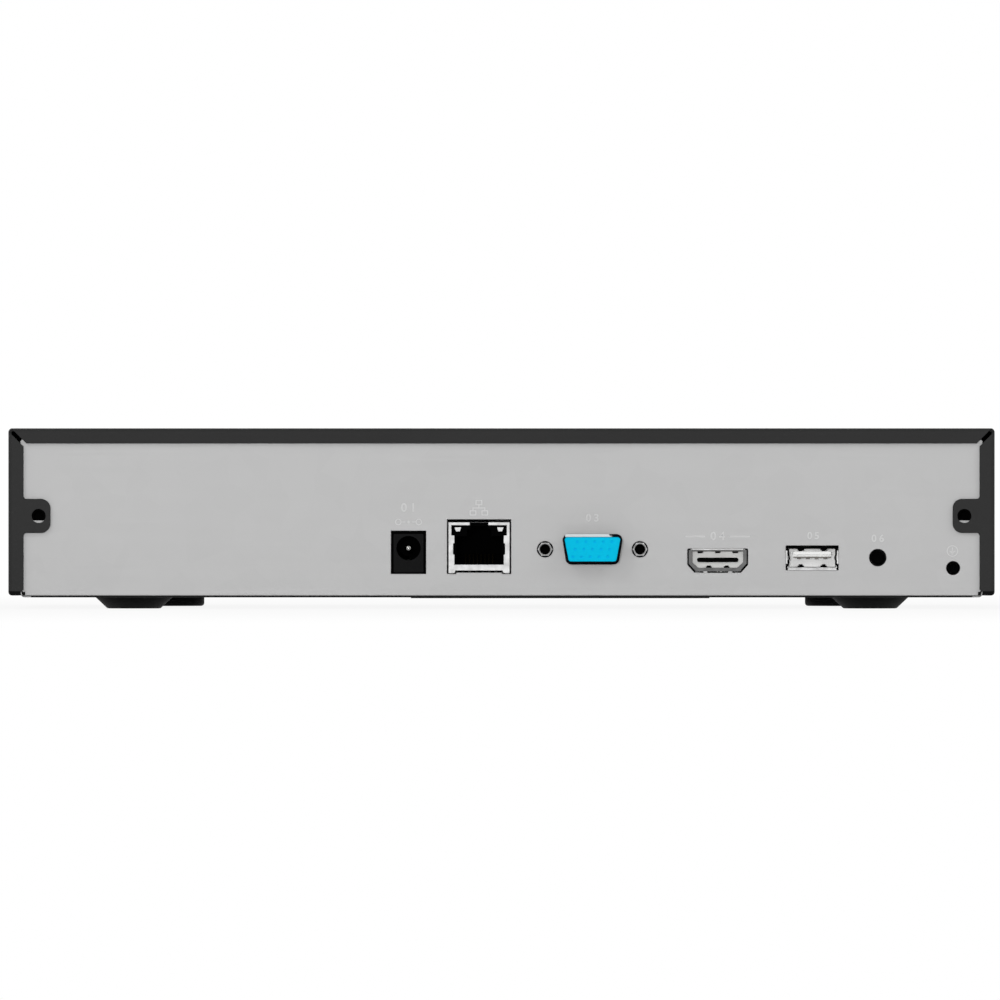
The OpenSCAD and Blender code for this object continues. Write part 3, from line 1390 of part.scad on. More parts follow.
module cable_plugs() {
    g = 2 * plug_gap;
    data_top_w = [14, 5.2, data_head.z];
    power_in = power_head - [2, 2, 1.5] * head_wall - [g, g, plug_gap];
    ribbon_in = ribbon_head - [2, 2, 1.5] * head_wall - [g, g, plug_gap];
    data_in = data_room - [g, g, plug_gap];
    color("#222326") {
        translate([data_plug_x, data_plug_y - data_plug.y / 2, plug_z - data_plug.z / 2]) cube(data_plug);
        translate([power_plug_x, power_plug_y - power_plug.y / 2,
            plug_z - power_plug.z / 2]) cube(power_plug);
        translate(data_top - [data_top_w.x / 2, data_top_w.y / 2, data_top_w.z]) cube(data_top_w);
        translate(data_top - [data_in.x / 2, data_in.y / 2, data_top_w.z + data_in.z]) cube(data_in);
    }
    color("#e8e3d4") {
        translate(power_top - [power_in.x / 2, power_in.y / 2, power_in.z + 4]) cube(power_in + [0, 0,
            4]);
        translate(ribbon_top - [ribbon_in.x / 2, ribbon_in.y / 2, ribbon_in.z + 3]) cube(ribbon_in + [0,
            0, 3]);
        block([front_header_x - ribbon_in.x / 2, front_back_y + head_wall + plug_gap, front_z - 1.9],
              [front_header_x + ribbon_in.x / 2, ribbon_from.y, front_z + 1.9]);
    }
}

// Hard disk ---------------------------------------------------------------------------------------

// Cast housing: a tub with a round well for the platters and a pocket for the arm, open above for the lid
module disk_housing() {
    rim = disk_z1 - disk_lid_t;
    corner_r = 2;
    hole_l = 5;
    color("#b6b8ba") {
        difference() {
            along_z(disk_z0, rim) round_rect([disk_x0, disk_y0], [disk_x1, disk_y1], corner_r);
            rod_z(hub_x, hub_y, platter_d + 2 * well_gap, disk_well_z, rim + past);
            block([disk_x0 + pocket_wall.x, disk_y0 + pocket_wall.y, disk_well_z],
                  [hub_x - platter_d / 2 + 4 * well_gap, disk_y1 - pocket_wall.y, rim + past]);
            // Recesses for the circuit board and the socket
            block([disk_x0 - past, disk_y0 + disk_board_side, disk_z0 - past],
                  [disk_x1 - disk_board_end, disk_y1 - disk_board_side,
                      disk_board_z + disk_board_t + 0.1]);
            block([disk_x0 - past, disk_socket_y0 - socket_gap, disk_z0],
                  [disk_x0 + disk_socket.x + 0.2, disk_socket_y1 + socket_gap,
                      disk_z0 + disk_socket_rise + disk_socket.z + 0.2]);
            for (p = disk_places) rod_z(p.x, p.y, disk_screw_d + 2 * snug, disk_z0 - past,
                disk_z0 + hole_l);
        }
        rod_z(pivot_x, pivot_y, pivot_d, disk_well_z, rim - 1);
        rod_z(hub_x, hub_y, spindle_d, disk_well_z, stack_z + stack_h);
    }
}

module disk_lid() {
    step = disk_z1 - disk_lid_t;
    press = 0.4;
    edge = 1;
    corner_r = 3;
    hub_press_d = platter_d - 8;
    pivot_press_d = 16;
    color("#c3c6c8") difference() {
        along_z(step, disk_z1) round_rect([disk_x0 + edge, disk_y0 + edge],
            [disk_x1 - edge, disk_y1 - edge], corner_r);
        rod_z(hub_x, hub_y, hub_press_d, disk_z1 - press, disk_z1 + past);
        rod_z(pivot_x, pivot_y, pivot_press_d, disk_z1 - press, disk_z1 + past);
        for (p = lid_places) rod_z(p.x, p.y, lid_screw_d + 2 * snug, step - past, disk_z1 + past);
    }
}

module disk_board() {
    gap = 0.4;
    color("#1b4f33") difference() {
        along_z(disk_board_z, disk_board_z + disk_board_t)
            round_rect([disk_x0 + 2, disk_y0 + disk_board_side + gap],
                       [disk_x1 - disk_board_end - gap, disk_y1 - disk_board_side - gap], 1);
        block([disk_x0, disk_socket_y0 - socket_gap, disk_z0],
              [disk_x0 + disk_socket.x + gap + 0.2, disk_socket_y1 + 2 * socket_gap,
                  disk_board_z + 2 * disk_board_t]);
    }
}

module disk_socket() {
    key_room = [2, 4];
    wall = 1.5;
    low = [disk_x0, disk_socket_y0, disk_z0 + disk_socket_rise];
    color("#1a1b1d") difference() {
        block(low, low + disk_socket);
        block(low + [disk_socket.x - key_room[0] - 0.8, wall, 1.2],
              low + [disk_socket.x - 0.8, disk_socket.y - wall, 1.2 + key_room[1]]);
    }
}

// Hub with two platters, turning about the spindle
module platter_stack() {
    hub_d = 25;
    hub_rim = 1.5;
    color("#d4d8dc") translate([hub_x, hub_y, stack_z]) difference() {
        union() {
            for (z = [0, platter_t + platter_gap]) translate([0, 0, z]) cylinder(d = platter_d,
                h = platter_t, $fn = 96);
            translate([0, 0, -hub_rim]) cylinder(d = hub_d, h = stack_h + 2 * hub_rim);
        }
        translate([0, 0, -2 * hub_rim]) cylinder(d = spindle_d + 2 * bearing_gap,
            h = stack_h + 4 * hub_rim);
    }
}

// Actuator: three arms on a bearing hub, with the coil behind it, parked outside the platters
module head_arm() {
    arm_t = 0.9;
    arm_root = 6;
    arm_tip = 1.2;
    hub_d = 13;
    rim = 2.2;
    coil_l = 19;
    coil_w = 9;
    color("#a7abae") translate([pivot_x, pivot_y, 0]) difference() {
        union() {
            translate([0, 0, stack_z - rim]) cylinder(d = hub_d, h = stack_h + 2 * rim);
            for (z = [stack_z - arm_gap - arm_t, stack_z + (stack_h - arm_t) / 2,
                stack_z + stack_h + arm_gap])
                translate([0, 0, z]) rotate(arm_angle) linear_extrude(arm_t)
                    polygon([[0, -arm_root], [arm_l, -arm_tip], [arm_l, arm_tip], [0, arm_root]]);
            translate([0, 0, stack_z + platter_t]) rotate(arm_angle + 180) linear_extrude(platter_gap)
                polygon([[0, -5], [coil_l, -coil_w], [coil_l, coil_w], [0, 5]]);
        }
        translate([0, 0, disk_z0]) cylinder(d = pivot_d + 2 * bearing_gap, h = disk_h);
    }
}

// Magnet yoke: a plate under the coil and one above it, joined by a post outside the coil's sweep
module arm_magnet() {
    gap = 0.8;
    plate_t = 2.6;
    low = stack_z + platter_t - gap;
    high = stack_z + platter_t + platter_gap + gap;
    plate = [[9, -9], [16, -13], [23, -13], [23, -8], [17, 11], [9, 9]];
    post = [21.2, -10.4];
    post_d = 3;
    color("#8e9296") translate([pivot_x, pivot_y, 0]) rotate(arm_angle + 180 - arm_swing / 2) {
        along_z(disk_well_z, low) polygon(plate);
        along_z(high, high + plate_t) polygon(plate);
        along_z(disk_well_z, high) translate(post) circle(d = post_d);
    }
}

module disk_screws() {
    grip = 4.5;
    lid_head = [3.6, 0.6];
    color("#c9c9c9") {
        for (p = disk_places) translate([p.x, p.y, disk_z0 - sheet]) mirror([0, 0, 1])
            screw_z(0, 0, 0, disk_screw_d, disk_head_d, disk_head_h, sheet + grip);
        for (p = lid_places) screw_z(p.x, p.y, disk_z1, lid_screw_d, lid_head[0], lid_head[1],
            disk_lid_t - 0.1);
    }
}

top_cover();
base_chassis();
rear_feet();
front_feet();
front_bezel();
light_pipes();
bezel_screws();
front_board();
front_board_screws();
status_leds();
front_usb_shell();
front_usb_tongue();
front_board_header();
main_board();
board_standoffs();
board_screws();
dc_jack_housing();
dc_jack_pin();
dc_jack_spring();
network_jack_shell();
network_jack_insert();
network_jack_contacts();
vga_shell();
vga_insert();
vga_jack_nuts();
hdmi_shell();
hdmi_tongue();
rear_usb_shell();
rear_usb_tongue();
reset_switch();
reset_button();
earth_nut();
processor();
thermal_pad();
heat_sink();
heat_sink_pins();
memory_chips();
network_transformer();
regulators();
inductors();
capacitors();
crystals();
coin_cell();
coin_cell_holder();
buzzer();
board_headers();
disk_data_cable();
disk_power_cable();
front_cable();
cable_plugs();
disk_housing();
disk_lid();
disk_board();
disk_socket();
platter_stack();
head_arm();
arm_magnet();
disk_screws();
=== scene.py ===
import math
import bmesh
import bpy
from mathutils import Matrix, Vector


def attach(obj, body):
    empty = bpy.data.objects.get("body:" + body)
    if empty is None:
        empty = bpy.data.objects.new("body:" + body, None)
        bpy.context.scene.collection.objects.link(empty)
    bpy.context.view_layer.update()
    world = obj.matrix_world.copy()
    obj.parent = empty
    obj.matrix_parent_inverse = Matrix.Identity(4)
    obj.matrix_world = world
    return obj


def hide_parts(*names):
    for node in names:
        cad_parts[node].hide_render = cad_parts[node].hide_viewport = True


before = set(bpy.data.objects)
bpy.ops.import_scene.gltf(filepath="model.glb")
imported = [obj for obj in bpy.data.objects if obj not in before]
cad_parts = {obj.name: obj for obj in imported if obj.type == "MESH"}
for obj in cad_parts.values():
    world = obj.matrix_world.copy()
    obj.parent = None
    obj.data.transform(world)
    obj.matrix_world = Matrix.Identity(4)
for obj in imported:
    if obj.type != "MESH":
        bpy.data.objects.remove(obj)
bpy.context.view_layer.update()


# Camera: level, square on to the rear panel and far away, so that the port row is seen almost
# without perspective.
def placed(name, data):
    """A new object in the scene."""
    made = bpy.data.objects.new(name, data)
    bpy.context.collection.objects.link(made)
    return made


camera = placed("camera", bpy.data.cameras.new("camera"))
camera.location = (-0.0303, 6.1073, 0.02869)
camera.rotation_euler = (math.radians(90), 0, math.radians(180.293))
camera.data.lens = 819.4
camera.data.sensor_width = 36
camera.data.clip_end = 60
bpy.context.scene.camera = camera
bpy.context.scene.view_settings.view_transform = "Standard"


# Shader and geometry trees. A Value is one socket, and sums on it add the nodes that work them
# out; node() makes every other node. A grey is written as one number.
class Value:
    def __init__(self, owner, socket):
        self.owner, self.socket = owner, socket

    def sum(self, operation, first, second=None):
        return self.owner.node("ShaderNodeMath", {"operation": operation}, (first, second))

    def __add__(self, other): return self.sum("ADD", self, other)
    def __radd__(self, other): return self.sum("ADD", other, self)
    def __sub__(self, other): return self.sum("SUBTRACT", self, other)
    def __rsub__(self, other): return self.sum("SUBTRACT", other, self)
    def __mul__(self, other): return self.sum("MULTIPLY", self, other)
    def __rmul__(self, other): return self.sum("MULTIPLY", other, self)
    def __truediv__(self, other): return self.sum("DIVIDE", self, other)
    def __rtruediv__(self, other): return self.sum("DIVIDE", other, self)
    def __pow__(self, other): return self.sum("POWER", self, other)
    def __mod__(self, other): return self.sum("FLOORED_MODULO", self, other)
    def __gt__(self, other): return self.sum("GREATER_THAN", self, other)
    def __or__(self, other): return self.sum("MAXIMUM", self, other)
    def __abs__(self): return self.sum("ABSOLUTE", self)


class Tree:
    def __init__(self, tree):
        self.tree = tree

    def node(self, kind, settings=None, values=(), out=0):
        made = self.tree.nodes.new(kind)
        for name, setting in (settings or {}).items():
            setattr(made, name, setting)
        for key, value in values.items() if isinstance(values, dict) else enumerate(values):
            if isinstance(value, Value):
                self.tree.links.new(value.socket, made.inputs[key])
            elif value is not None:
                made.inputs[key].default_value = value
        return Value(self, made.outputs[out] if made.outputs else None)

    def part(self, vector, letter):
        return self.node("ShaderNodeSeparateXYZ", {}, (vector,), letter)


def tint(shade):
    """Red, green and blue, also from one grey."""
    return (shade,) * 3 if isinstance(shade, float) else shade


class Finish(Tree):
    """A material: one Principled shader, with the pattern that feeds it."""
    def __init__(self, name, colour, roughness, metallic=0.0, **fixed):
        self.material = bpy.data.materials.new(name)
        self.material.use_nodes = True
        super().__init__(self.material.node_tree)
        self.shader = self.tree.nodes["Principled BSDF"]
        self.place = self.node("ShaderNodeTexCoord", out="Object")
        self.set("Base Color", (*tint(colour), 1))
        self.set("Roughness", roughness)
        self.set("Metallic", metallic)
        for name, value in fixed.items():
            self.set(name.replace("_", " "), value)

    def set(self, socket, value):
        if isinstance(value, Value):
            self.tree.links.new(value.socket, self.shader.inputs[socket])
        else:
            self.shader.inputs[socket].default_value = value

    def pattern(self, kind, size, settings, values, out=0):
        """A texture in units of size millimetres, which may be one size for each axis."""
        sizes = size if isinstance(size, tuple) else (size,) * 3
        scale = tuple(1e3 / side for side in sizes)
        place = self.node("ShaderNodeMapping", {}, {"Vector": self.place, "Scale": scale})
        return self.node(kind, settings, {"Vector": place, "Scale": 1.0, **values}, out)

    def noise(self, size, detail=2.0):
        """Noise from 0 to 1 whose lumps are size millimetres across."""
        return self.pattern("ShaderNodeTexNoise", size, {"noise_type": "FBM"}, {"Detail": detail})

    def cells(self, size, out, loose=1.0, **settings):
        """Cells of about size millimetres: the distance to their centres, or a colour for each."""
        return self.pattern("ShaderNodeTexVoronoi", size, {"feature": "F1", **settings},
                            {"Randomness": loose}, out)

    def axis(self, letter):
        """One object coordinate in millimetres."""
        return self.part(self.place, letter) * 1e3

    def band(self, value, low, high):
        """0 below low, 1 above high and a smooth step between."""
        return self.node("ShaderNodeMapRange", {"interpolation_type": "SMOOTHSTEP"},
                         (value, low, high, 0.0, 1.0))

    def below(self, value, full, none):
        """1 below full, 0 above none and a smooth step between."""
        return self.band(-1 * value, -none, -full)

    def mix(self, amount, low, high):
        low, high = (shade if isinstance(shade, Value) else (*tint(shade), 1) for shade in (low, high))
        return self.node("ShaderNodeMix", {"data_type": "RGBA"}, {0: amount, 6: low, 7: high}, 2)

    def rounding(self, radius):
        return self.node("ShaderNodeBevel", {"samples": 4}, {"Radius": radius / 1e3})

    def edges(self, radius):
        """1 on edges and corners sharper than radius millimetres, 0 on open faces."""
        ways = self.rounding(radius), self.node("ShaderNodeNewGeometry", out="Normal")
        return 1 - self.node("ShaderNodeVectorMath", {"operation": "DOT_PRODUCT"}, ways, 1)

    def relief(self, height, depth, radius=0.0):
        """Bump of the given depth in millimetres, over edges rounded to radius millimetres."""
        under = self.rounding(radius) if radius else None
        self.set("Normal", self.node("ShaderNodeBump", {}, {
            "Strength": 1.0, "Distance": depth / 1e3, "Height": height, "Normal": under}))


# Studio: a white room, a soft lamp beside the camera that reaches into the sockets, softer ones to
# the sides and in front, and a pale floor that keeps the recorder's shadow.
def seen(tree):
    """1 for what the camera sees, also in metal or through clear plastic, 0 for other light."""
    rays = tree.node("ShaderNodeLightPath").socket.node.outputs
    straight, glossy, through = (Value(tree, rays[f"Is {kind} Ray"]) for kind in ("Camera", "Glossy", "Transmission"))
    return straight | (glossy | through)


def lamp(name, place, size, power, target=(0, 0, 0.02)):
    light = bpy.data.lights.new(name, "AREA")
    light.energy, light.size = power, size
    holder = placed(name, light)
    holder.location = place
    holder.rotation_euler = (Vector(target) - Vector(place)).to_track_quat("-Z", "Y").to_euler()


lamp("key_lamp", (1.3, 1.7, 1.5), 0.9, 9)
lamp("camera_side_lamp", (0.35, 5.0, 0.42), 0.8, 64)
lamp("fill_lamp", (-1.6, 1.2, 1.1), 1.4, 6)
lamp("front_lamp", (0.2, -2.0, 1.4), 1.6, 24)

world = bpy.data.worlds.new("room")
bpy.context.scene.world = world
world.use_nodes = True
room = Tree(world.node_tree)
background = world.node_tree.nodes["Background"]
background.inputs["Color"].default_value = (1, 1, 1, 1)
room.tree.links.new((0.28 + 0.72 * seen(room)).socket, background.inputs["Strength"])

floor_mesh = bmesh.new()
bmesh.ops.create_grid(floor_mesh, x_segments=1, y_segments=1, size=30)
floor = placed("floor", bpy.data.meshes.new("floor"))
floor_mesh.to_mesh(floor.data)
floor_look = Finish("pale_floor", 0.86, 1.0, Specular_IOR_Level=0.0)
distance = floor_look.node("ShaderNodeVectorMath", {"operation": "LENGTH"}, (floor_look.place,), 1)
whiteness = 0.90 + 0.10 * floor_look.band(distance, 0.16, 0.9)
white = floor_look.node("ShaderNodeEmission", {}, {"Color": (1, 1, 1, 1), "Strength": 1.0})
lit = Value(floor_look, floor_look.shader.outputs[0])
both = floor_look.node("ShaderNodeMixShader", {}, (whiteness * seen(floor_look), lit, white))
floor_look.tree.links.new(both.socket, floor_look.tree.nodes["Material Output"].inputs["Surface"])
floor.data.materials.append(floor_look.material)


# Top cover: one folded sheet-steel hood in a fine black powder coat, whose rear flanges lap over
# the rear panel. The grain of the coat is about half a millimetre, and its folds shine a little.
def dress(finish, *nodes):
    """Gives CAD nodes a finish in their own material slots."""
    for name in nodes:
        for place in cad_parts[name].material_slots:
            place.material = finish.material


flange_y = 106.9
powder = Finish("cover_paint", (0.035, 0.036, 0.037), 0.5, Specular_IOR_Level=0.06)
grain = powder.noise(0.55, 3.0)
wear = powder.band(powder.edges(0.5) * powder.noise(6.0), 0.10, 0.28)
painted = powder.mix(wear, powder.mix(powder.noise(35.0), 0.031, 0.037), (0.06, 0.061, 0.062))
behind_panel = powder.band(powder.axis("Y"), flange_y, flange_y + 0.1)
# Painted shadow: the cover's bottom hem behind the rear panel turns near-black where shade falls.
painted_hem_shadow = powder.below(powder.axis("Z"), 4.6, 4.75) * behind_panel
powder.set("Base Color", powder.mix(painted_hem_shadow, painted, 0.003))
powder.set("Roughness", 0.44 + 0.12 * grain)
powder.relief(grain, 0.035, 0.35)
dress(powder, "top_cover")

# Base chassis: folded galvanised sheet, matt grey with a faint spangle and the fine lines that the
# roller leaves along it. The outside of its rear bend is painted near-black as shade.
sheet = Finish("chassis_steel", 0.5, 0.5, 0.15, Specular_IOR_Level=0.2)
spangle = sheet.node("ShaderNodeSeparateColor", {}, (sheet.cells(7, "Color"),))
lines = sheet.noise((40, 0.25, 0.25))
backwards = sheet.part(sheet.node("ShaderNodeTexCoord", out="Normal"), "Y")
# Painted shade: the rear-facing outside of the bend below the panel turns near-black, duller and less metallic.
painted_bend_shadow = sheet.below(sheet.axis("Z"), 3.46, 3.56) * sheet.band(backwards, 0.03, 0.12)
painted_bend_shadow = painted_bend_shadow * sheet.below(abs(sheet.axis("X")), 123.9, 124.1)
sheet.set("Base Color", sheet.mix(painted_bend_shadow, sheet.mix(spangle * 0.35 + 0.3 * lines, 0.499, 0.530), 0.006))
sheet.set("Metallic", 0.15 * (1 - painted_bend_shadow))
sheet.set("Roughness", 0.42 + 0.14 * lines + 0.4 * painted_bend_shadow)
sheet.relief(lines, 0.006, 0.25)
dress(sheet, "base_chassis")


# Printing on the rear panel: flat strokes of pale ink a fiftieth of a millimetre thick. Plain port
# numbers, a polarity mark, a network tree and an earth mark.
class Shape:
    """A mesh in the making, in millimetres."""
    def __init__(self):
        self.mesh = bmesh.new()

    def plate(self, outlines, low, high, axis="z"):
        """Outlines, the first outside and the rest holes, drawn out from low to high along an axis."""
        rims = []
        for outline in outlines:
            ring = [self.mesh.verts.new({"x": (low, u, v), "y": (u, low, v), "z": (u, v, low)}[axis]) for u, v in outline]
            rims += [self.mesh.edges.new(pair) for pair in zip(ring, ring[1:] + ring[:1])]
        filled = bmesh.ops.triangle_fill(self.mesh, edges=rims, use_beauty=True)["geom"]
        faces = [part for part in filled if isinstance(part, bmesh.types.BMFace)]
        drawn = bmesh.ops.extrude_face_region(self.mesh, geom=faces)["geom"]
        ends = [part for part in drawn if isinstance(part, bmesh.types.BMVert)]
        bmesh.ops.translate(self.mesh, verts=ends, vec=[high - low if letter == axis else 0 for letter in "xyz"])

    def block(self, low, high):
        self.plate([box(*low[:2], *high[:2])], low[2], high[2])

    def lathe(self, profile, centre, axis="z", sides=48, closed=False):
        """A profile of (radius, height) points turned about an axis through centre."""
        rings = []
        for radius, height in profile:
            ring = []
            for step in range(sides) if radius > 1e-6 else [0]:
                turn = 2 * math.pi * step / sides
                u, v = radius * math.cos(turn), radius * math.sin(turn)
                offset = {"y": (v, height, u), "z": (u, v, height)}[axis]
                ring.append(self.mesh.verts.new([c + o for c, o in zip(centre, offset)]))
            rings.append(ring)
        for first, second in zip(rings, rings[1:] + rings[:1] if closed else rings[1:]):
            for step in range(sides):
                corners = [ring[spot % len(ring)] for ring, spot in (
                    (first, step), (first, step + 1), (second, step + 1), (second, step))]
                kept = [corner for spot, corner in enumerate(corners) if corner not in corners[:spot]]
                if len(kept) > 2:
                    self.mesh.faces.new(kept)

    def sweep(self, path, section, wide=(1, 0, 0)):
        """A section of (u, v) points carried along a path, u kept near the direction wide."""
        path = [Vector(point) for point in path]
        rings = []
        for spot, point in enumerate(path):
            along = (path[min(spot + 1, len(path) - 1)] - path[max(spot - 1, 0)]).normalized()
            across = Vector(wide(spot / (len(path) - 1)) if callable(wide) else wide)
            across = (across - across.dot(along) * along).normalized()
            up = along.cross(across)
            rings.append([self.mesh.verts.new(point + u * across + v * up) for u, v in section])
        for first, second in zip(rings, rings[1:]):
            for spot in range(len(section)):
                after = (spot + 1) % len(section)
                self.mesh.faces.new((first[spot], first[after], second[after], second[spot]))
        self.mesh.faces.new(rings[0])
        self.mesh.faces.new(rings[-1])

    def turned(self, matrix):
        bmesh.ops.transform(self.mesh, matrix=matrix, verts=self.mesh.verts)

    def flat(self, name):
        """The shape as it stands, as a plain mesh."""
        made = bpy.data.meshes.new(name)
        self.mesh.to_mesh(made)
        return made

    def piece(self, name, finish, slot, body="case", instead_of=(), bevel=0.0, segments=2, sharp=35, joined=True):
        """Turns the shape into an object in metres that rides on a body."""
        if joined:
            bmesh.ops.remove_doubles(self.mesh, verts=self.mesh.verts, dist=1e-4)
            bmesh.ops.dissolve_limit(self.mesh, angle_limit=0.004, verts=self.mesh.verts, edges=self.mesh.edges)
        bmesh.ops.recalc_face_normals(self.mesh, faces=self.mesh.faces)
        bmesh.ops.scale(self.mesh, vec=(1e-3,) * 3, verts=self.mesh.verts)
        for face in self.mesh.faces:
            face.smooth = True
        made = placed(name, self.flat(name))
        self.mesh.free()
        made.data.set_sharp_from_angle(angle=math.radians(sharp))
        made.data.materials.append(finish.material)
        if bevel:
            round_off = made.modifiers.new("rounded_edges", "BEVEL")
            round_off.width, round_off.segments = bevel / 1e3, segments
            round_off.limit_method, round_off.angle_limit = "ANGLE", math.radians(sharp)
            round_off.harden_normals = True
        return settle(made, body, instead_of)


def settle(made, body="case", instead_of=()):
    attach(made, body)
    if instead_of:
        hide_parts(*instead_of)
    return made


def box(x0, y0, x1, y1):
    return [(x0, y0), (x1, y0), (x1, y1), (x0, y1)]


def moved(points, x, y, side=1):
    """Points put at x and y, and mirrored where side is -1."""
    return [(x + side * u, y + v) for u, v in points]


def arc(x, y, radius, start=0, stop=360, steps=24):
    """Points of an arc, or of a whole circle without its last point again."""
    count = steps if stop - start == 360 else steps + 1
    turns = [math.radians(start + (stop - start) * step / steps) for step in range(count)]
    return [(x + radius * math.cos(turn), y + radius * math.sin(turn)) for turn in turns]


def rounded(low, high, radius, steps=4):
    """A rectangle with round corners."""
    x0, y0, x1, y1 = low[0] + radius, low[1] + radius, high[0] - radius, high[1] - radius
    return [point for x, y, turn in ((x1, y1, 0), (x0, y1, 90), (x0, y0, 180), (x1, y0, 270))
            for point in arc(x, y, radius, turn, turn + 90, steps)]


def pad(x, y, half_x, half_y, radius):
    """A rectangle with round corners about x and y."""
    return rounded((x - half_x, y - half_y), (x + half_x, y + half_y), radius)


def as_mesh(holder):
    """The mesh that an object shows, which then takes the object's place."""
    made = bpy.data.meshes.new_from_object(holder.evaluated_get(bpy.context.evaluated_depsgraph_get()))
    holder.modifiers.clear()
    bpy.data.objects.remove(holder)
    return made


panel_face = 107.3
ink_face = panel_face + 0.02
ink = Finish("panel_ink", 0.70, 0.55)
ink.set("Base Color", ink.mix(ink.noise(0.3, 3.0), 0.66, 0.74))
numbers, marks = Shape(), Shape()


def number(digits, x, z, height, spread):
    """Digits printed on the rear panel about x and z."""
    words = bpy.data.curves.new("port_number", "FONT")
    words.body, words.size, words.space_character = digits, height * 1.4, spread
    words.align_x, words.align_y, words.offset = "CENTER", "CENTER", 0.06
    words.extrude, words.resolution_u = (ink_face - panel_face) / 2, 4
    printed = as_mesh(placed("port_number", words))
    upright = Matrix(((-1, 0, 0, x), (0, 0, 1, (panel_face + ink_face) / 2), (0, 1, 0, z), (0, 0, 0, 1)))
    printed.transform(upright)
    numbers.mesh.from_mesh(printed)


def mark(*outlines):
    marks.plate(outlines, panel_face, ink_face, "y")


def frame_mark(x, z):
    """One machine of the network tree."""
    return pad(x, z, 0.9, 0.7, 0.2), pad(x, z, 0.6, 0.4, 0.1)


for row in (("01", 24.5, 26.6, 2.3, 1.5), ("03", -24.0, 23.9, 2.0, 1.5), ("04", -57.0, 19.1, 2.2, 1.5),
            ("05", -82.2, 19.2, 1.9, 1.4), ("06", -99.2, 18.5, 1.9, 1.5)):
    number(*row)
numbers.piece("panel_numbers", ink, "white_tongue", joined=False)
polarity, tree_x, earth = (24.5, 22.9), 5.95, (-118.86, 15.25)
for side in (-1, 1):
    mark(pad(-57.0 + side * 5.9, 19.1, 2.6, 0.2, 0.15))
    mark(*(arc(polarity[0] + side * 2.7, polarity[1], radius) for radius in (0.85, 0.6)))
    mark(pad(polarity[0] + side * 1.35, polarity[1], 0.5, 0.12, 0.1))
    mark(*frame_mark(tree_x + side * 1.55, 25.3))
mark(arc(*polarity, 0.35, steps=12))
mark(*frame_mark(tree_x, 28.0))
mark(moved([(-0.15, 1.3), (0.15, 1.3), (0.15, 0.75), (1.7, 0.75), (1.7, 0), (1.4, 0), (1.4, 0.45),
            (-1.4, 0.45), (-1.4, 0), (-1.7, 0), (-1.7, 0.75), (-0.15, 0.75)], tree_x, 26.0))
mark(arc(*earth, 1.5, steps=32), arc(*earth, 1.28, steps=32))
mark(pad(earth[0], earth[1] + 0.425, 0.11, 0.525, 0.05))
for width, drop in ((1.5, 0.1), (0.95, 0.45), (0.45, 0.8)):
    mark(pad(earth[0], earth[1] - drop, width / 2, 0.1, 0.05))
marks.piece("panel_printing", ink, "white_tongue")


# Reset switch and earth nut: a black tactile switch whose round plunger is pushed through the
# panel, and a zinc clinch nut pressed in behind the earth screw hole.
def moulded(name, colour, roughness=0.45, size=0.4, depth=0.008, radius=0.15, spread=0.12, shine=None):
    """Moulded plastic with a fine spark-eroded grain."""
    colour = tint(colour)
    look = Finish(name, colour, roughness, Specular_IOR_Level=shine or (0.4 if max(colour) > 0.1 else 0.04))
    grain = look.noise(size, 3.0)
    dark, light = (tuple(c * share for c in colour) for share in (1 - spread, 1 + spread))
    look.set("Base Color", look.mix(look.noise(9.0), dark, light))
    look.set("Roughness", roughness - 0.06 + 0.12 * grain)
    look.relief(grain, depth, radius)
    return look


def plated(name, colour, roughness=0.25, size=(1.5, 1.5, 0.2), depth=0.004, radius=0.08, metallic=1.0):
    """Plated or drawn metal with faint lines and small stains."""
    look = Finish(name, colour, roughness, metallic)
    lines = look.noise(size)
    stain = look.band(look.noise(2.2, 3.0), 0.35, 0.8)
    look.set("Base Color", look.mix(stain, colour, tuple(0.82 * c for c in tint(colour))))
    look.set("Roughness", roughness - 0.05 + 0.1 * lines + 0.08 * stain)
    look.relief(lines, depth, radius)
    return look


black_nylon = moulded("black_nylon", (0.010, 0.010, 0.011))
# Near-black plastic for black parts, also used for pieces that stand in as painted shade.
black_and_painted_shade = moulded("plunger_black", 0.002, 0.7, shine=0.01)
zinc = plated("zinc", (0.62, 0.62, 0.60), 0.35)
dress(black_nylon, "reset_switch")
dress(zinc, "earth_nut")
plunger = Shape()
plunger.lathe([(0, 101.9), (1.7, 101.9), (1.7, 105.35), (1.6, 105.53), (1.4, 105.6), (0.9, 105.6),
               (0.75, 105.45), (0, 105.4)], (-99.2, 0, 13.5), "y")
plunger.piece("reset_plunger_cap", black_and_painted_shade, "black_plastic", "reset_plunger", ("reset_button",))


# Clip nuts of the cover's screws: blackened spring steel clips behind the rear panel's two square
# windows, each with folded side lugs and a drawn barrel that is threaded inside.
def ridges(radius, rise, start, pitch, count):
    """Part of a profile that goes in and out, as a thread or a barb does."""
    return [(radius + rise * (step % 2), start + pitch * step) for step in range(count)]


clips = Shape()
for side in (-1, 1):
    x, z, barrel_z = side * 122.0, 25.4, 24.5
    clips.plate([pad(x, z, 3.9, 4.3, 0.6), arc(x, barrel_z, 1.35, steps=32)], 106.05, 106.6, "y")
    clips.lathe([(1.35, 106.05), (2.3, 106.05), (2.0, 105.6), (1.9, 102.6), (0, 102.4), (0, 102.9),
                 *ridges(1.35, 0.12, 102.95, 0.25, 12), (1.35, 106.05)], (x, 0, barrel_z), "y", 32)
    for lug_x in (x - 3.7, x + 3.7):
        clips.block((lug_x - 0.25, 103.6, z - 3.2), (lug_x + 0.25, 106.3, z + 3.2))
clips.piece("cover_clip_nuts", black_and_painted_shade, "black_screw", bevel=0.08)

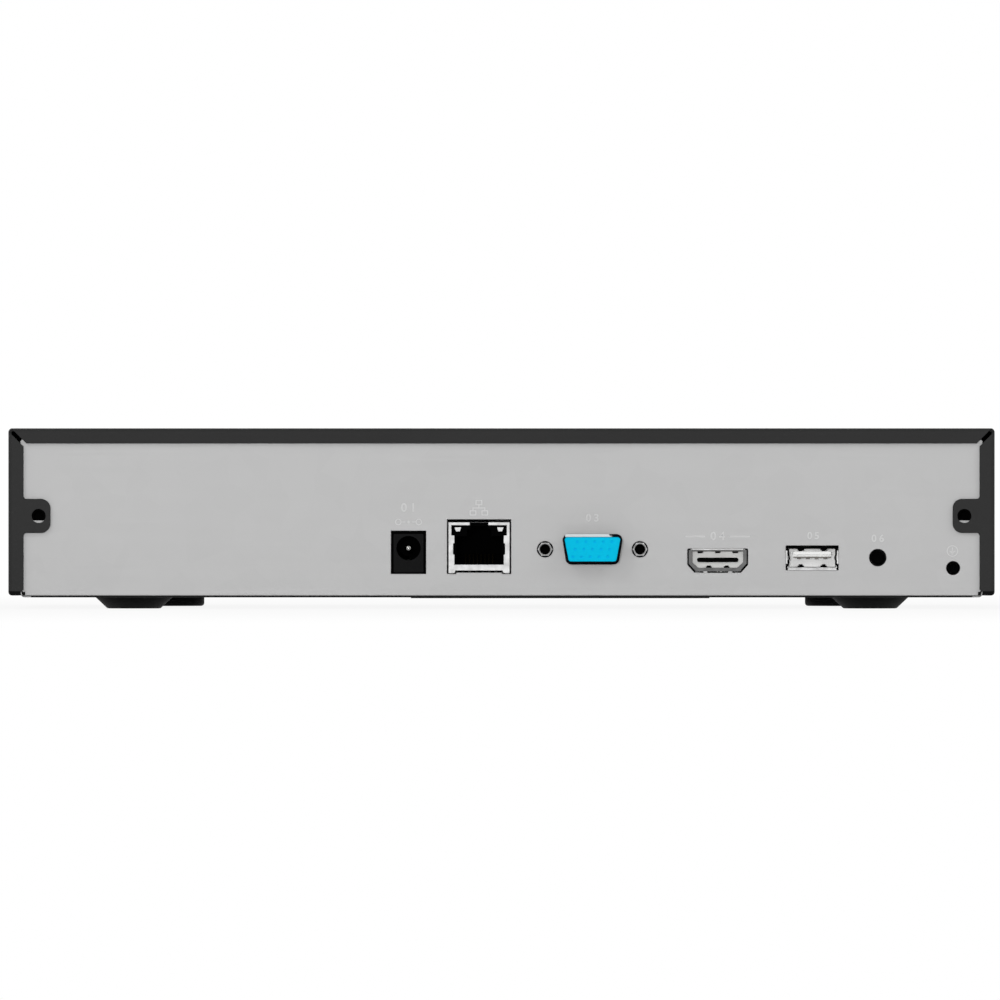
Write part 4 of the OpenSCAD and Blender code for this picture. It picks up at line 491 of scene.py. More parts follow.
# Feet: black rubber buttons with a peg through the bottom plate, cone-shaped at the rear and
# straight with a soft lower edge in front.
rubber = moulded("foot_rubber", (0.013, 0.013, 0.0135), 0.62, 0.25, 0.02, 0.2, 0.2)
peg = [(1.95, 3.0), (1.95, 4.9), (1.6, 5.3), (0, 5.3)]
cone = [(0, 0.25), (4.2, 0.25), (4.8, 0.05), (6.7, 0), (7.1, 0.08), (10.05, 2.85), (10.15, 3.0)]
drum = [(0, 0.4), (5.4, 0.4), (5.6, 0.05), (10.2, 0), (10.6, 0.1), (10.9, 0.4), (11.0, 0.8), (11.0, 2.85), (10.85, 3.0)]
for name, half, y, profile in (("rear", 97.4, 82.3, cone), ("front", 92.4, -62.0, drum)):
    feet = Shape()
    for x in (-half, half):
        feet.lathe(profile + peg, (x, y, 0), sides=72)
    feet.piece(name + "_foot_rubber", rubber, "foot_rubber", instead_of=(name + "_feet",), sharp=50)


# Power jack: a black moulded housing with a round mouth, a nickel centre pin with a domed tip and
# a spring leaf under it. Inside the mouth the housing falls to black as painted shade, and the
# spring leaf is darkened as painted shade.
def soften(points, radius, steps=6):
    """An outline with its corners turned into arcs."""
    soft = []
    for spot, point in enumerate(points):
        point, before, after = (Vector(points[near % len(points)]) for near in (spot, spot - 1, spot + 1))
        u, v = (before - point).normalized(), (after - point).normalized()
        half = math.acos(max(-1, min(1, u.dot(v)))) / 2
        start, stop = point + u * radius / math.tan(half), point + v * radius / math.tan(half)
        middle = point + (u + v).normalized() * radius / math.sin(half)
        turn = (start - middle).angle_signed(stop - middle) / steps
        soft += [tuple(middle + Matrix.Rotation(-turn * step, 2) @ (start - middle)) for step in range(steps + 1)]
    return soft


def paint_shade_inside(look, mouth_y):
    """Painted shade: makes a finish fall to black behind a mouth's face."""
    depth = look.below(look.axis("Y"), mouth_y - 0.5, mouth_y)
    shade = look.shader.inputs["Base Color"].links[0].from_socket
    look.set("Base Color", look.mix(depth, Value(look, shade), 0.0004))
    return look


board_top = 9.2
socket_face = panel_face + 0.3
jack = (24.5, 0, 16.0)
jack_outline = rounded((jack[0] - 4.6, board_top), (jack[0] + 4.6, 20.6), 0.35)
jack_nose = rounded((jack[0] - 3.95, 9.6), (jack[0] + 3.95, 19.75), 0.3)
jack_mouth = arc(jack[0], jack[2], 3.2, steps=64)
power_jack = Shape()
power_jack.plate([jack_outline, jack_mouth], 98.1, 106.4, "y")
power_jack.plate([jack_nose, jack_mouth], 106.4, socket_face, "y")
power_jack.plate([jack_outline], 93.4, 98.1, "y")
power_jack.lathe([(3.2, 104.4), (3.2, 104.0), (2.95, 104.0), (2.95, 98.1), (3.2, 98.1)], jack, "y")
power_jack.lathe([(0, 98.1), (2.2, 98.1), (2.2, 98.6), (0, 98.6)], jack, "y")
jack_black = moulded("jack_black", (0.0112, 0.0112, 0.0115), 0.6, shine=0.012)
# The housing falls to black inside the mouth as painted shade.
power_jack.piece("power_jack_housing", paint_shade_inside(jack_black, panel_face), "black_plastic",
                 instead_of=("dc_jack_housing",), bevel=0.15, segments=3)
pin = Shape()
pin.lathe([(0, 96.3), (1.0, 96.3), (1.0, 105.8), *arc(0, 105.8, 1.0, 10, 80, 7), (0, 106.8)], jack, "y", 32)
pin.piece("power_jack_pin", plated("pin_nickel", (0.26, 0.26, 0.25), 0.1), "nickel", instead_of=("dc_jack_pin",))
# The spring leaf is darkened nearly to black as painted shade in the bore.
dress(plated("spring_steel", 0.05, 0.4), "dc_jack_spring")

# Network jack: a shell folded from tin-plated sheet round a black insert, its latch upwards, with
# two bright spring tabs in the upper corners and eight gold wires in the floor. The wires' gold is
# darkened nearly to black as painted shade, and a black plate in the latch notch is painted shade.
lan_x, lan_z, lan_back = 5.9, 9.8, 90.9
lan_half, lan_high, tab_x = 8.05, 13.0, 4.6
lan_top = lan_z + lan_high
tin = plated("tin_plate", 0.50, 0.5, metallic=0.7)
half_face = [(2.45, lan_high), (lan_half, lan_high), (lan_half, -0.35), (6.45, -0.35), (6.2, 0.3)]
half_mouth = [(0, 1.85), (6.5, 1.85), (6.5, 4.45), (6.85, 4.6), (6.85, 7.35), (6.5, 7.5), (6.5, 9.55),
              (7.3, 9.55), (7.3, 12.25), (2.45, 12.25)]
tab_end = [(4.75, 11.7), (6.45, 11.7), (6.35, 11.3), (6.1, 10.6), (5.1, 10.6), (4.85, 11.3)]
swell = [(step / 8, math.sin(math.pi * step / 8)) for step in range(9)]


def mirrored(points, x, z):
    """An outline from its right half."""
    return moved(points, x, z) + moved(points[::-1], x, z, -1)


face = mirrored(half_face, lan_x, lan_z)
face += moved(half_mouth[::-1], lan_x, lan_z, -1) + moved(half_mouth[1:], lan_x, lan_z)
shell = Shape()
shell.plate([face], socket_face, 107.9, "y")
for side in (-1, 1):
    wall = sorted((lan_x + side * 7.75, lan_x + side * lan_half))
    window = rounded((98.5, lan_z + 4.2), (104.5, lan_z + 7.4), 0.3)
    shell.plate([box(lan_back, lan_z, socket_face, lan_top), window], *wall, "x")
    bow = [(lan_x + side * (7.9 + 0.28 * out), 98.5 + 5.4 * along, lan_z + 5.8) for along, out in swell]
    shell.sweep(bow, box(-1.3, -0.12, 1.3, 0.12), wide=(0, 0, 1))
    shell.plate([moved(tab_end, lan_x, lan_z, side)], 107.35, 107.7, "y")
    for y in (91.9, 103.9):
        peg_x = lan_x + side * 7.45
        shell.block((peg_x - 0.6, y, board_top), (peg_x + 0.6, y + 1.5, lan_z))
roof = [(-lan_half, lan_back), (lan_half, lan_back), (lan_half, socket_face), (2.45, socket_face), (2.45, 104.9),
        (-2.45, 104.9), (-2.45, socket_face), (-lan_half, socket_face)]
slots = [rounded((lan_x + x - 1.2, 99.0), (lan_x + x + 1.2, 104.6), 0.3) for x in (-tab_x, tab_x)]
shell.plate([moved(roof, lan_x, 0), *slots], lan_top - 0.3, lan_top)
shell.plate([box(lan_x - lan_half, lan_z, lan_x + lan_half, lan_top)], lan_back, lan_back + 0.3, "y")
for x in (lan_x - tab_x, lan_x + tab_x):
    bow = [(x, 99.0 + 5.2 * along, lan_top - 0.15 + 0.25 * out) for along, out in swell]
    shell.sweep(bow, box(-0.95, -0.12, 0.95, 0.12))
shell.piece("network_jack_can", tin, "plated_shell", instead_of=("network_jack_shell",), bevel=0.06)
dress(moulded("insert_black", (0.0008, 0.0008, 0.0009), 0.7, shine=0.01), "network_jack_insert")
# Painted shade: a black plate in the latch notch stands in for the shade there.
latch_shade_plate = Shape()
latch_shade_plate.block((lan_x - 2.4, 104.95, lan_z + 12.1), (lan_x + 2.4, 105.3, lan_z + 12.95))
latch_shade_plate.piece("network_jack_latch_well", black_and_painted_shade, "black_plastic")
# The wires' gold is darkened nearly to black as painted shade; the HDMI contact strips share it.
wire_gold = plated("wire_gold", (0.05, 0.038, 0.018), 0.5)
wire_bends = ((95.2, 1.6), (95.3, 4.4), (95.9, 4.6), (98.0, 3.7), (101.0, 2.6), (104.0, 1.65), (104.7, 1.6))
wires = Shape()
for step in range(8):
    x = lan_x + (step - 3.5) * 1.02
    wires.sweep([(x, y, lan_z + z) for y, z in wire_bends], arc(0, 0, 0.19, steps=8))
wires.piece("network_jack_wires", wire_gold, "gold_plate", instead_of=("network_jack_contacts",))

# VGA socket: a drawn D-shaped shell in black nickel with a painted highlight along its upper rim,
# its flange behind the panel, a blue insert with fifteen holes in three rows, and two hexagonal nuts
# whose threads are near-black as painted shade.
vga_x, vga_z, vga_lip = -24.0, 15.7, 112.5
flange_back, flange_front = 105.85, 106.45
nut_places = [(vga_x + side * 12.495, 0, vga_z) for side in (-1, 1)]
nut_holes = [arc(x, z, 1.8) for x, _, z in nut_places]


def d_outline(grow):
    w, h = 7.86 + grow, 3.6 + grow
    return moved(soften([(-w, h), (w, h), (w - 1.22, -h), (1.22 - w, -h)], 1.1 + grow), vga_x, vga_z)


dark_nickel = (0.002, 0.003, 0.006)
black_nickel = plated("black_nickel", dark_nickel, 0.5)
black_nickel.set("Specular IOR Level", 0.02)
# Painted highlight: a pale, more metallic band on the shell's upper rim stands in for lit metal.
painted_rim_highlight = black_nickel.band(black_nickel.axis("Z"), vga_z + 3.2, vga_z + 3.35)
painted_rim_highlight = painted_rim_highlight * black_nickel.band(black_nickel.axis("Y"), vga_lip - 0.7, vga_lip - 0.5)
painted_rim_highlight = painted_rim_highlight * black_nickel.band(black_nickel.axis("X"), -29.5, -28.5)
black_nickel.set("Base Color", black_nickel.mix(painted_rim_highlight, dark_nickel, (0.66, 0.70, 0.72)))
black_nickel.set("Roughness", 0.5 + 0.2 * painted_rim_highlight)
black_nickel.set("Metallic", 0.1 + 0.4 * painted_rim_highlight)
blue = moulded("insert_blue", (0.0, 0.66, 1.0), 0.5, 0.5, 0.006, 0.1, 0.05, 0.03)
drawn = Shape()
drawn.plate([pad(vga_x, vga_z, 15.4, 6.2, 1.2), d_outline(-0.38), *nut_holes], flange_back, flange_front, "y")
drawn.plate([d_outline(0), d_outline(-0.38)], flange_front, vga_lip, "y")
# A thin plate inside the top of the rim carries the painted highlight.
painted_highlight_lip = rounded((vga_x - 4.5, vga_z + 3.3), (vga_x + 7.2, vga_z + 4.02), 0.3)
drawn.plate([painted_highlight_lip], vga_lip - 0.5, vga_lip - 0.04, "y")
drawn.piece("vga_shell_drawn", black_nickel, "plated_shell", instead_of=("vga_shell",), bevel=0.08, segments=3)
insert = Shape()
holes = [arc(vga_x + (column - row * 0.25) * 2.29, vga_z + row * 1.98, 0.34, steps=20)
         for row in (-1, 0, 1) for column in range(-2, 3)]
insert.plate([d_outline(-0.39), *holes], 112.05, 112.3, "y")
insert.plate([d_outline(-0.39)], flange_back, 112.05, "y")
insert.plate([rounded((vga_x - 15.4, board_top), (vga_x + 15.4, 21.3), 0.6), *nut_holes], 97.85, flange_back, "y")
insert.piece("vga_insert_block", blue, "blue_insert", instead_of=("vga_insert",), bevel=0.04)
bright = plated("bright_nickel", (0.72, 0.71, 0.68), 0.24)
nuts, shaded_threads = Shape(), Shape()
for centre in nut_places:
    shaded_threads.lathe([(0, 101.9), (1.3, 101.9), *ridges(1.3, 0.1, 102.1, 0.26, 20), (1.35, 107.4)], centre, "y", 36)
    nuts.lathe([(1.75, 106.3), (1.75, 100.5), (0, 100.5), (0, 101.6), (1.42, 101.6), (1.42, 107.3),
                (1.35, 107.45), (1.4, 107.7), (1.6, 107.88), (1.75, 107.8), (1.75, 106.3)], centre, "y", 36)
    nuts.plate([arc(centre[0], vga_z, 1.97, steps=6), arc(centre[0], vga_z, 1.6, steps=36)], 106.55, 107.8, "y")
# The nut threads are near-black as painted shade inside the bores.
shaded_threads.piece("vga_nut_threads", black_and_painted_shade, "nickel")
nut_grey = plated("nut_nickel", 0.42, 0.5, metallic=0.6)
nuts.piece("vga_hex_nuts", nut_grey, "nickel", instead_of=("vga_jack_nuts",), bevel=0.06)


# HDMI socket: a tin-plated shell folded from four walls, with three springs above and two below,
# spring lips that touch the panel, and a black tongue in front of a pale moulded back. The springs
# and their lips are black as painted shade, the mouth's rim is a dark grey as painted shade, and the
# contacts' gold is darkened as painted shade.
def socket_wall(shape, centre, half, y0, y1, z, t, windows, width):
    """A level wall with a window for each spring."""
    cut = [pad(centre + x, y1 - 3.15, width / 2, 2.45, 0.2) for x in windows]
    shape.plate([box(centre - half, y0, centre + half, y1), *cut], *sorted((z, z + t)))


def socket_springs(shape, centre, y1, z, windows, width, bend):
    """Spring leaves that bend out of a wall's windows into the mouth."""
    for x in windows:
        leaf = [(centre + x, y1 - 5.6 + 4.5 * step / 6, z + bend * (step / 6) ** 0.8) for step in range(6)]
        leaf.append((centre + x, y1 - 1.1, z + 0.7 * bend))
        shape.sweep(leaf, box(0.2 - width / 2, -0.1, width / 2 - 0.2, 0.1))


hdmi_x, hdmi_z, hdmi_back = -57.0, 9.9, 96.1
upper, lower = (-4.6, 0, 4.6), (-2.35, 2.35)


def hdmi_outline(grow):
    """The socket's outline, grown outwards."""
    half = [(7.6 + grow, 5.6 + abs(grow)), (7.6 + grow, 2.05 - 0.4 * grow), (5.75 + 0.45 * grow, -grow)]
    return mirrored(half, hdmi_x, hdmi_z)


hdmi, back, rim, springs, tongue, strips = (Shape() for _ in range(6))
socket_wall(hdmi, hdmi_x, 7.45, hdmi_back, panel_face, hdmi_z + 5.6, -0.35, upper, 1.9)
socket_wall(hdmi, hdmi_x, 5.55, hdmi_back, panel_face, hdmi_z, 0.35, lower, 1.5)
side_wall = [(7.3, 5.6), (7.6, 5.35), (7.6, 2.05), (5.75, 0), (5.45, 0), (5.45, 0.35), (5.6, 0.36), (7.25, 2.2),
             (7.25, 5.25)]
for side in (-1, 1):
    hdmi.plate([moved(side_wall, hdmi_x, hdmi_z, side)], hdmi_back, panel_face, "y")
    for x, half, y0, y1, z in ((5, 0.5, 98.6, 101.6, board_top), (3.3, 0.55, 104.6, 107.4, 9.55)):
        hdmi.block((hdmi_x + side * x - half, y0, z), (hdmi_x + side * x + half, y1, 9.95))
hdmi.block((hdmi_x - 6.7, 104.6, 15.45), (hdmi_x + 6.7, 107.4, 15.85))
hdmi.piece("hdmi_can", tin, "plated_shell", instead_of=("hdmi_shell",), bevel=0.07)
pale = moulded("pale_nylon", (0.90, 0.90, 0.88), 0.5)
back.plate([hdmi_outline(-0.4)], 102.5, 106.0, "y")
back.piece("hdmi_back", pale, "white_tongue", bevel=0.1)
# The mouth's rim is a dark grey as painted shade.
rim_grey = plated("rim_grey", 0.10, 0.5, metallic=0.5)
hdmi_mouth = mirrored([(6.7, 5.25), (6.7, 2.35), (5.15, 0.95)], hdmi_x, hdmi_z)
rim.plate([hdmi_outline(0.05), hdmi_mouth], 106.9, 107.65, "y")
rim.piece("hdmi_rim", rim_grey, "plated_shell", bevel=0.08)
# The springs and their lips are black as painted shade.
for windows, width, z, bend, end_z in ((upper, 1.6, 15.2, -0.5, 15.0), (lower, 1.4, 10.9, 0.5, 10.98)):
    socket_springs(springs, hdmi_x, 107.9, z, windows, width, bend)
    for x in windows:
        springs.plate([pad(hdmi_x + x, end_z, 0.75, 0.2, 0.15)], 106.3, socket_face, "y")
springs.piece("hdmi_springs_black_as_shade", black_and_painted_shade, "black_plastic")
tongue.plate([pad(hdmi_x, 12.9, 5.45, 0.6, 0.55)], 99.0, 106.6, "y")
tongue.piece("hdmi_tongue_blade", black_and_painted_shade, "black_plastic", instead_of=("hdmi_tongue",), bevel=0.15)
# The contact strips take the gold darkened as painted shade.
for step in range(19):
    x, z = hdmi_x + (step - 9) * 0.5, 13.5 if step % 2 else 12.3
    strips.block((x - 0.13, 104.2, z - 0.03), (x + 0.13, 105.9, z + 0.03))
strips.piece("hdmi_contact_strips", wire_gold, "gold_plate")


# USB sockets, one in the rear and one in the bezel: tin-plated shells with two springs above and
# two below, dented sides, and a white tongue with four contacts on its underside. The springs, the
# side dents and a strip over the top lip are black as painted shade; the contacts are dark grey,
# partly as painted shade, with a dark strip under the tongue as painted shade.
contact_grey = plated("contact_grey", (0.14, 0.13, 0.12), 0.5, metallic=0.5)
tongue_white = moulded("tongue_white", (0.98, 0.98, 0.97), 0.4, spread=0.02, shine=0.6)
half_wall = [(6.3, 2.85), (6.55, 2.6), (6.55, 0.6), (6.4, 0.35)]
half_inside = [(6.1, 0.4), (6.25, 0.7), (6.25, 2.55)]
wall_side = half_wall + [(u, -v) for u, v in half_wall[::-1] + half_inside[::-1]] + half_inside
dent_side = [(6.9, 2.9), (6.55, 2.0), (6.5, 0.7), (6.3, 0.35), (6.3, -0.35), (6.5, -0.7), (6.5, -1.6), (6.9, -2.4)]
dent_side += [(u - 0.45, v) for u, v in dent_side[::-1]]
rim_side = [(6.92, 1.9), (6.5, 1.9), (6.5, -1.6), (6.92, -1.6)]
spring_x = (-3.02, 3.02)


def usb_socket(name, x, z, y0, y1, facing, wall_nodes):
    can, blade, contacts, springs = (Shape() for _ in range(4))
    deep = y1 - y0
    lip = deep - 0.4
    for side in (-1, 1):
        # The springs, their pads, the side dents and a strip over the top lip are black as painted shade.
        socket_wall(can, x, 6.4, 0, deep, z + side * 2.85, -side * 0.3, spring_x, 1.7)
        socket_springs(springs, x, deep, z + side * 2.45, spring_x, 1.3, -side * 0.75)
        for spot in spring_x:
            springs.plate([pad(x + spot, z + side * 2.3, 0.85, 0.3, 0.25)], deep - 0.9, deep - 0.2, "y")
        can.plate([moved(wall_side, x, z, side)], 0, deep, "y")
        springs.plate([moved(dent_side, x, z, side)], lip, deep + 0.04, "y")
        can.plate([moved(rim_side, x, z, side)], lip, deep, "y")
    springs.plate([moved([(-6.9, 2.9), (6.9, 2.9), (6.5, 2.52), (-6.5, 2.52)], x, z)], lip, deep + 0.04, "y")
    can.plate([box(x - 6.4, z - 3.22, x + 6.4, z - 2.8)], lip, deep, "y")
    blade.plate([pad(x, z, 6.1, 2.4, 0.2)], 5.0, deep - 2.8, "y")
    blade.plate([pad(x, z + 1.0, 5.1, 0.75, 0.25)], deep - 2.8, deep - 1.0, "y")
    blade.plate([pad(x, z + 1.26, 5.0, 0.46, 0.25)], deep - 1.0, deep - 0.5, "y")
    # A dark strip under the tongue is painted shade; the four contacts are dark grey, partly as painted shade.
    contacts.plate([box(x - 4.9, z + 0.02, x + 4.9, z + 0.3)], deep - 2.9, deep - 0.9, "y")
    for step in range(4):
        spot = x + (step - 1.5) * 2.3
        contacts.plate([box(spot - 0.5, z - 0.3, spot + 0.5, z + 0.1)], deep - 2.9, deep - 1.4, "y")
    front = Matrix.Translation((0, y0 if facing > 0 else y1, 0)) @ Matrix.Diagonal((1, facing, 1, 1))
    for shape, part, finish, slot, nodes in (
            (can, "can", tin, "plated_shell", wall_nodes[:1]),
            (blade, "blade", tongue_white, "white_tongue", wall_nodes[1:]),
            (contacts, "contacts", contact_grey, "gold_plate", ()),
            (springs, "springs", black_and_painted_shade, "black_plastic", ())):
        shape.turned(front)
        shape.piece(name + "_" + part, finish, slot, instead_of=nodes, bevel=0.06 if part != "springs" else 0)


usb_socket("rear_usb", -81.9, 13.45, 93.6, socket_face, 1, ("rear_usb_shell", "rear_usb_tongue"))

# Front bezel: satin black moulded ABS with a face band, snap hooks and three holes for lights. Its
# sheen is slightly uneven, as moulded plastic is, and its edges are softly rounded.
satin = Finish("bezel_plastic", (0.012, 0.012, 0.013), 0.34, Specular_IOR_Level=0.16)
satin.set("Base Color", satin.mix(satin.noise(30.0), (0.010, 0.010, 0.011), (0.015, 0.015, 0.016)))
satin.set("Roughness", 0.34 + 0.08 * satin.noise(3.0) + 0.10 * satin.band(satin.axis("Y"), -104.0, -101.0))
satin.relief(satin.noise(14.0), 0.012, 0.45)
dress(satin, "front_bezel")

# Light pipes: clear polycarbonate rods whose domed ends fill the bezel's three small holes, with a
# collar behind the bezel. Behind each is a white light on the front board.
clear = Finish("light_guide", (0.72, 0.78, 0.80), 0.08, Transmission_Weight=0.55, IOR=1.58)
clear.set("Roughness", 0.06 + 0.1 * clear.noise(0.8))
clear.relief(clear.noise(1.2), 0.01)
lens = Finish("status_lens", (0.80, 0.84, 0.78), 0.2, Transmission_Weight=0.3)
guides, lights, bases = Shape(), Shape(), Shape()


def dome(radius, height, top, angles):
    """The round end of a profile, from its top outwards."""
    turns = [math.radians(angle) for angle in angles]
    return [(0, top - height)] + [(radius * math.sin(turn), top - height * math.cos(turn)) for turn in turns]


front_z, lens_base = 25.0, -102.9
for x in (-99.8, -89.8, -79.8):
    place = (x, 0, front_z)
    guides.lathe([*dome(1.15, 0.3, -112.12, (30, 60, 80)), (1.15, -112.0), (1.15, -110.3), (1.7, -110.3),
                  (1.8, -110.2), (1.8, -104.4), (1.7, -104.3), (0, -104.3)], place, "y", 32)
    lights.lathe([*dome(1.3, 1.2, lens_base, (20, 40, 60, 80)), (1.3, lens_base), (0, lens_base)], place, "y", 24)
    bases.plate([pad(x, front_z, 1.6, 1.6, 0.2)], lens_base, -101.9, "y")
guides.piece("light_pipes_clear", clear, "light_guide", instead_of=("light_pipes",))
lights.piece("status_lenses", lens, "led_body", instead_of=("status_leds",))
bases.piece("status_light_bases", pale, "led_body", bevel=0.1)
usb_socket("front_usb", -60.8, front_z, -112.2, -101.9, -1, ("front_usb_shell", "front_usb_tongue"))


# Screws: zinc-plated and black ones, all with a domed head, a cross recess and a rolled thread.
# One geometry tree makes the threaded shank from its length, core and pitch.
def new_tree(name, **inputs):
    """A geometry tree with named inputs, and the values that they give."""
    tree = bpy.data.node_groups.new(name, "GeometryNodeTree")
    for label, kind in inputs.items():
        tree.interface.new_socket(label, in_out="INPUT", socket_type="NodeSocket" + kind)
    tree.interface.new_socket("Geometry", in_out="OUTPUT", socket_type="NodeSocketGeometry")
    made = Tree(tree)
    given = made.node("NodeGroupInput").socket.node.outputs
    return made, *(Value(made, given[label]) for label in inputs)


def join(made, *parts):
    joined = made.node("GeometryNodeJoinGeometry")
    for part in parts:
        made.tree.links.new(part.socket, joined.socket.node.inputs[0])
    return joined


def along(made, geometry, **way):
    """Geometry moved along one axis."""
    return made.node("GeometryNodeTransform", {}, {
        "Geometry": geometry, "Translation": made.node("ShaderNodeCombineXYZ", {}, way)})


def ended(made, geometry, finish):
    """The tree, ended in real geometry with its finish."""
    solid = made.node("GeometryNodeRealizeInstances", {}, (geometry,))
    finished = made.node("GeometryNodeSetMaterial", {}, {"Geometry": solid, "Material": finish})
    made.node("NodeGroupOutput", {}, (finished,))
    return made.tree


def screw_tree():
    made, length, core, pitch, finish = new_tree(
        "rolled_thread", Length="Float", Core="Float", Pitch="Float", Finish="Material")
    helix = made.node("GeometryNodeCurveSpiral", {}, {
        "Resolution": 18, "Rotations": length / pitch, "Start Radius": core, "End Radius": core, "Height": length})
    ridge = made.node("GeometryNodeCurvePrimitiveCircle", {}, {"Resolution": 3, "Radius": pitch * 0.42}, "Curve")
    thread = made.node("GeometryNodeCurveToMesh", {}, {"Curve": helix, "Profile Curve": ridge, "Fill Caps": True})
    shank = made.node("GeometryNodeMeshCylinder", {}, {"Vertices": 20, "Radius": core, "Depth": length}, "Mesh")
    return ended(made, join(made, thread, along(made, shank, Z=length * 0.5)), finish)


def grown(tree, finish, ground=None, **sizes):
    """The mesh that a geometry tree makes from its named sizes, on a ground mesh if it needs one."""
    holder = placed("holder", ground or bpy.data.meshes.new("holder"))
    maker = holder.modifiers.new("maker", "NODES")
    maker.node_group = tree
    given = {"Finish": finish.material, **sizes}
    for socket in tree.interface.items_tree:
        if socket.in_out == "INPUT" and socket.name in given:
            maker[socket.identifier] = given[socket.name]
    return as_mesh(holder)


def cross(reach, arm, inner):
    """A cross: half its length, half the width of its arms and the place of its inner corners."""
    return [(c * u - s * v, s * u + c * v) for c, s in ((1, 0), (0, 1), (-1, 0), (0, -1))
            for u, v in ((reach, arm), (inner, inner), (arm, reach))]


rolled = screw_tree()


def screws(name, finish, slot, nodes, places, head, length, up, width=3.0):
    """Screws whose heads sit at places and point up along a direction; head is (diameter, height)."""
    shape, radius, top = Shape(), head[0] / 2, head[1]
    floor_z, reach = top * 0.4, 0.27 * head[0]
    recess = cross(reach, 0.17 * reach, 0.24 * reach)
    thread = grown(rolled, finish, Length=length - 0.1, Core=width / 2 - 0.22, Pitch=0.5)
    thread.transform(Matrix.Translation((0, 0, 0.1 - length)))
    turn = Vector((0, 0, 1)).rotation_difference(Vector(up)).to_matrix().to_4x4()
    for place in places:
        one = Shape()
        one.lathe([(0, 0), (radius - 0.12, 0), (radius, 0.12), (radius, top * 0.45), (radius * 0.93, top * 0.72),
                   (radius * 0.78, top * 0.9), (radius * 0.6, top), (radius * 0.59, top)], (0, 0, 0), sides=40)
        one.plate([arc(0, 0, radius * 0.6, steps=40), recess], floor_z, top)
        one.plate([recess], floor_z - 0.1, floor_z)
        one.mesh.from_mesh(thread)
        one.turned(Matrix.Translation(place) @ turn)
        shape.mesh.from_mesh(one.flat("one_screw"))
    shape.piece(name, finish, slot, instead_of=nodes)


black_zinc = plated("black_zinc", (0.03, 0.03, 0.032), 0.4)
screws("bezel_screw_set", black_zinc, "black_screw", ("bezel_screws",),
       [(x, -97.7, 25) for x in (-118.8, 118.8)], (6, 2), 8, (0, 1, 0))
screws("front_board_screw_set", zinc, "bright_screw", ("front_board_screws",),
       [(x, -100.7, 17.5) for x in (-104.8, -50.8)], (4, 1.2), 5, (0, 1, 0), 2.0)


# Boards: green glass-epoxy with copper tracks under the solder mask, pale component outlines and
# tinned pads. The main board stands on six brass standoffs.
def board_look(name, across_board):
    """Solder mask over tracks and poured copper; across_board is the axis through the board."""
    mask, over_copper = (0.010, 0.085, 0.035), (0.022, 0.150, 0.062)
    look = Finish(name, mask, 0.3, Coat_Weight=0.35, Coat_Roughness=0.2)
    x, y = look.axis("X"), look.axis("Y")
    patches = look.cells((16, 11, 400), "Color", 0.85, distance="CHEBYCHEV")
    pick = look.node("ShaderNodeSeparateColor", {}, (patches,))
    slanted, upright = look.band(pick, 0.60, 0.61), look.band(pick, 0.30, 0.31)
    lanes = slanted * (x + y) + (1 - slanted) * (upright * x + (1 - upright) * y)
    track = look.band(abs((lanes / 1.1) % 1.0 - 0.5), 0.24, 0.30) * look.band(look.noise(13.0), 0.42, 0.46)
    raised = track | look.band(look.noise((30, 24, 400), 1.0), 0.55, 0.56)
    via = 1 - look.band(look.cells((4.3, 4.3, 400), 0), 0.07, 0.09)
    shade = look.mix(via * 0.8, look.mix(0.8 * raised, mask, over_copper), (0.42, 0.44, 0.38))
    face = look.band(abs(look.part(look.node("ShaderNodeNewGeometry", out="Normal"), across_board)), 0.5, 0.6)
    edge = look.mix(look.noise((6, 6, 0.3)), (0.20, 0.19, 0.10), (0.28, 0.27, 0.15))
    look.set("Base Color", look.mix(face, edge, shade))
    look.set("Roughness", 0.28 + 0.12 * look.noise(0.5) + 0.2 * via)
    look.relief(raised * face, 0.035)
    return look


dress(board_look("board_green", "Z"), "main_board", "disk_board")
dress(board_look("front_board_green", "Y"), "front_board")
dress(plated("brass", (0.70, 0.50, 0.24), 0.3), "board_standoffs")
screws("board_screw_set", zinc, "bright_screw", ("board_screws",),
       [(x, y, board_top) for x in (-108.0, -44.4, 33.3) for y in (21.7, 101.7)], (6, 1.9), 4.9, (0, 0, 1))


# Small parts on the main board: resistors and ceramic capacitors, pale or dark bodies with tinned
# ends. One geometry tree strews them over the free areas, square to the board's edges.
def strewn_tree():
    made, ground, spacing, size, ends, seed, finish = new_tree(
        "strewn_parts", Geometry="Geometry", Spacing="Float", Size="Vector", Ends="Float", Seed="Int",
        Finish="Material")
    spots = made.node("GeometryNodeDistributePointsOnFaces", {"distribute_method": "POISSON"}, {
        "Mesh": ground, "Distance Min": spacing, "Density Max": 90000.0, "Seed": seed})
    quarter = made.node("FunctionNodeRandomValue", {"data_type": "INT"}, {"Min": 0, "Max": 3, "Seed": seed}, 2)
    turn = made.node("ShaderNodeCombineXYZ", {}, {"Z": quarter * (math.pi / 2)})
    body = made.node("GeometryNodeMeshCube", {}, {"Size": size}, "Mesh")
    cap_share, cap_extra = (0.24, 1.0, 1.0), (0.0, 0.00006, 0.00006)
    cap_size = made.node("ShaderNodeVectorMath", {"operation": "MULTIPLY_ADD"}, (size, cap_share, cap_extra))
    cap = made.node("GeometryNodeMeshCube", {}, {"Size": cap_size}, "Mesh")
    length = made.part(size, "X")
    caps = join(made, *(along(made, cap, X=length * side) for side in (-0.42, 0.42)))
    part = made.node("GeometryNodeSwitch", {"input_type": "GEOMETRY"}, {
        "Switch": ends > 0.5, "False": body, "True": caps})
    laid = made.node("GeometryNodeInstanceOnPoints", {}, {"Points": spots, "Instance": part, "Rotation": turn})
    return ended(made, laid, finish)


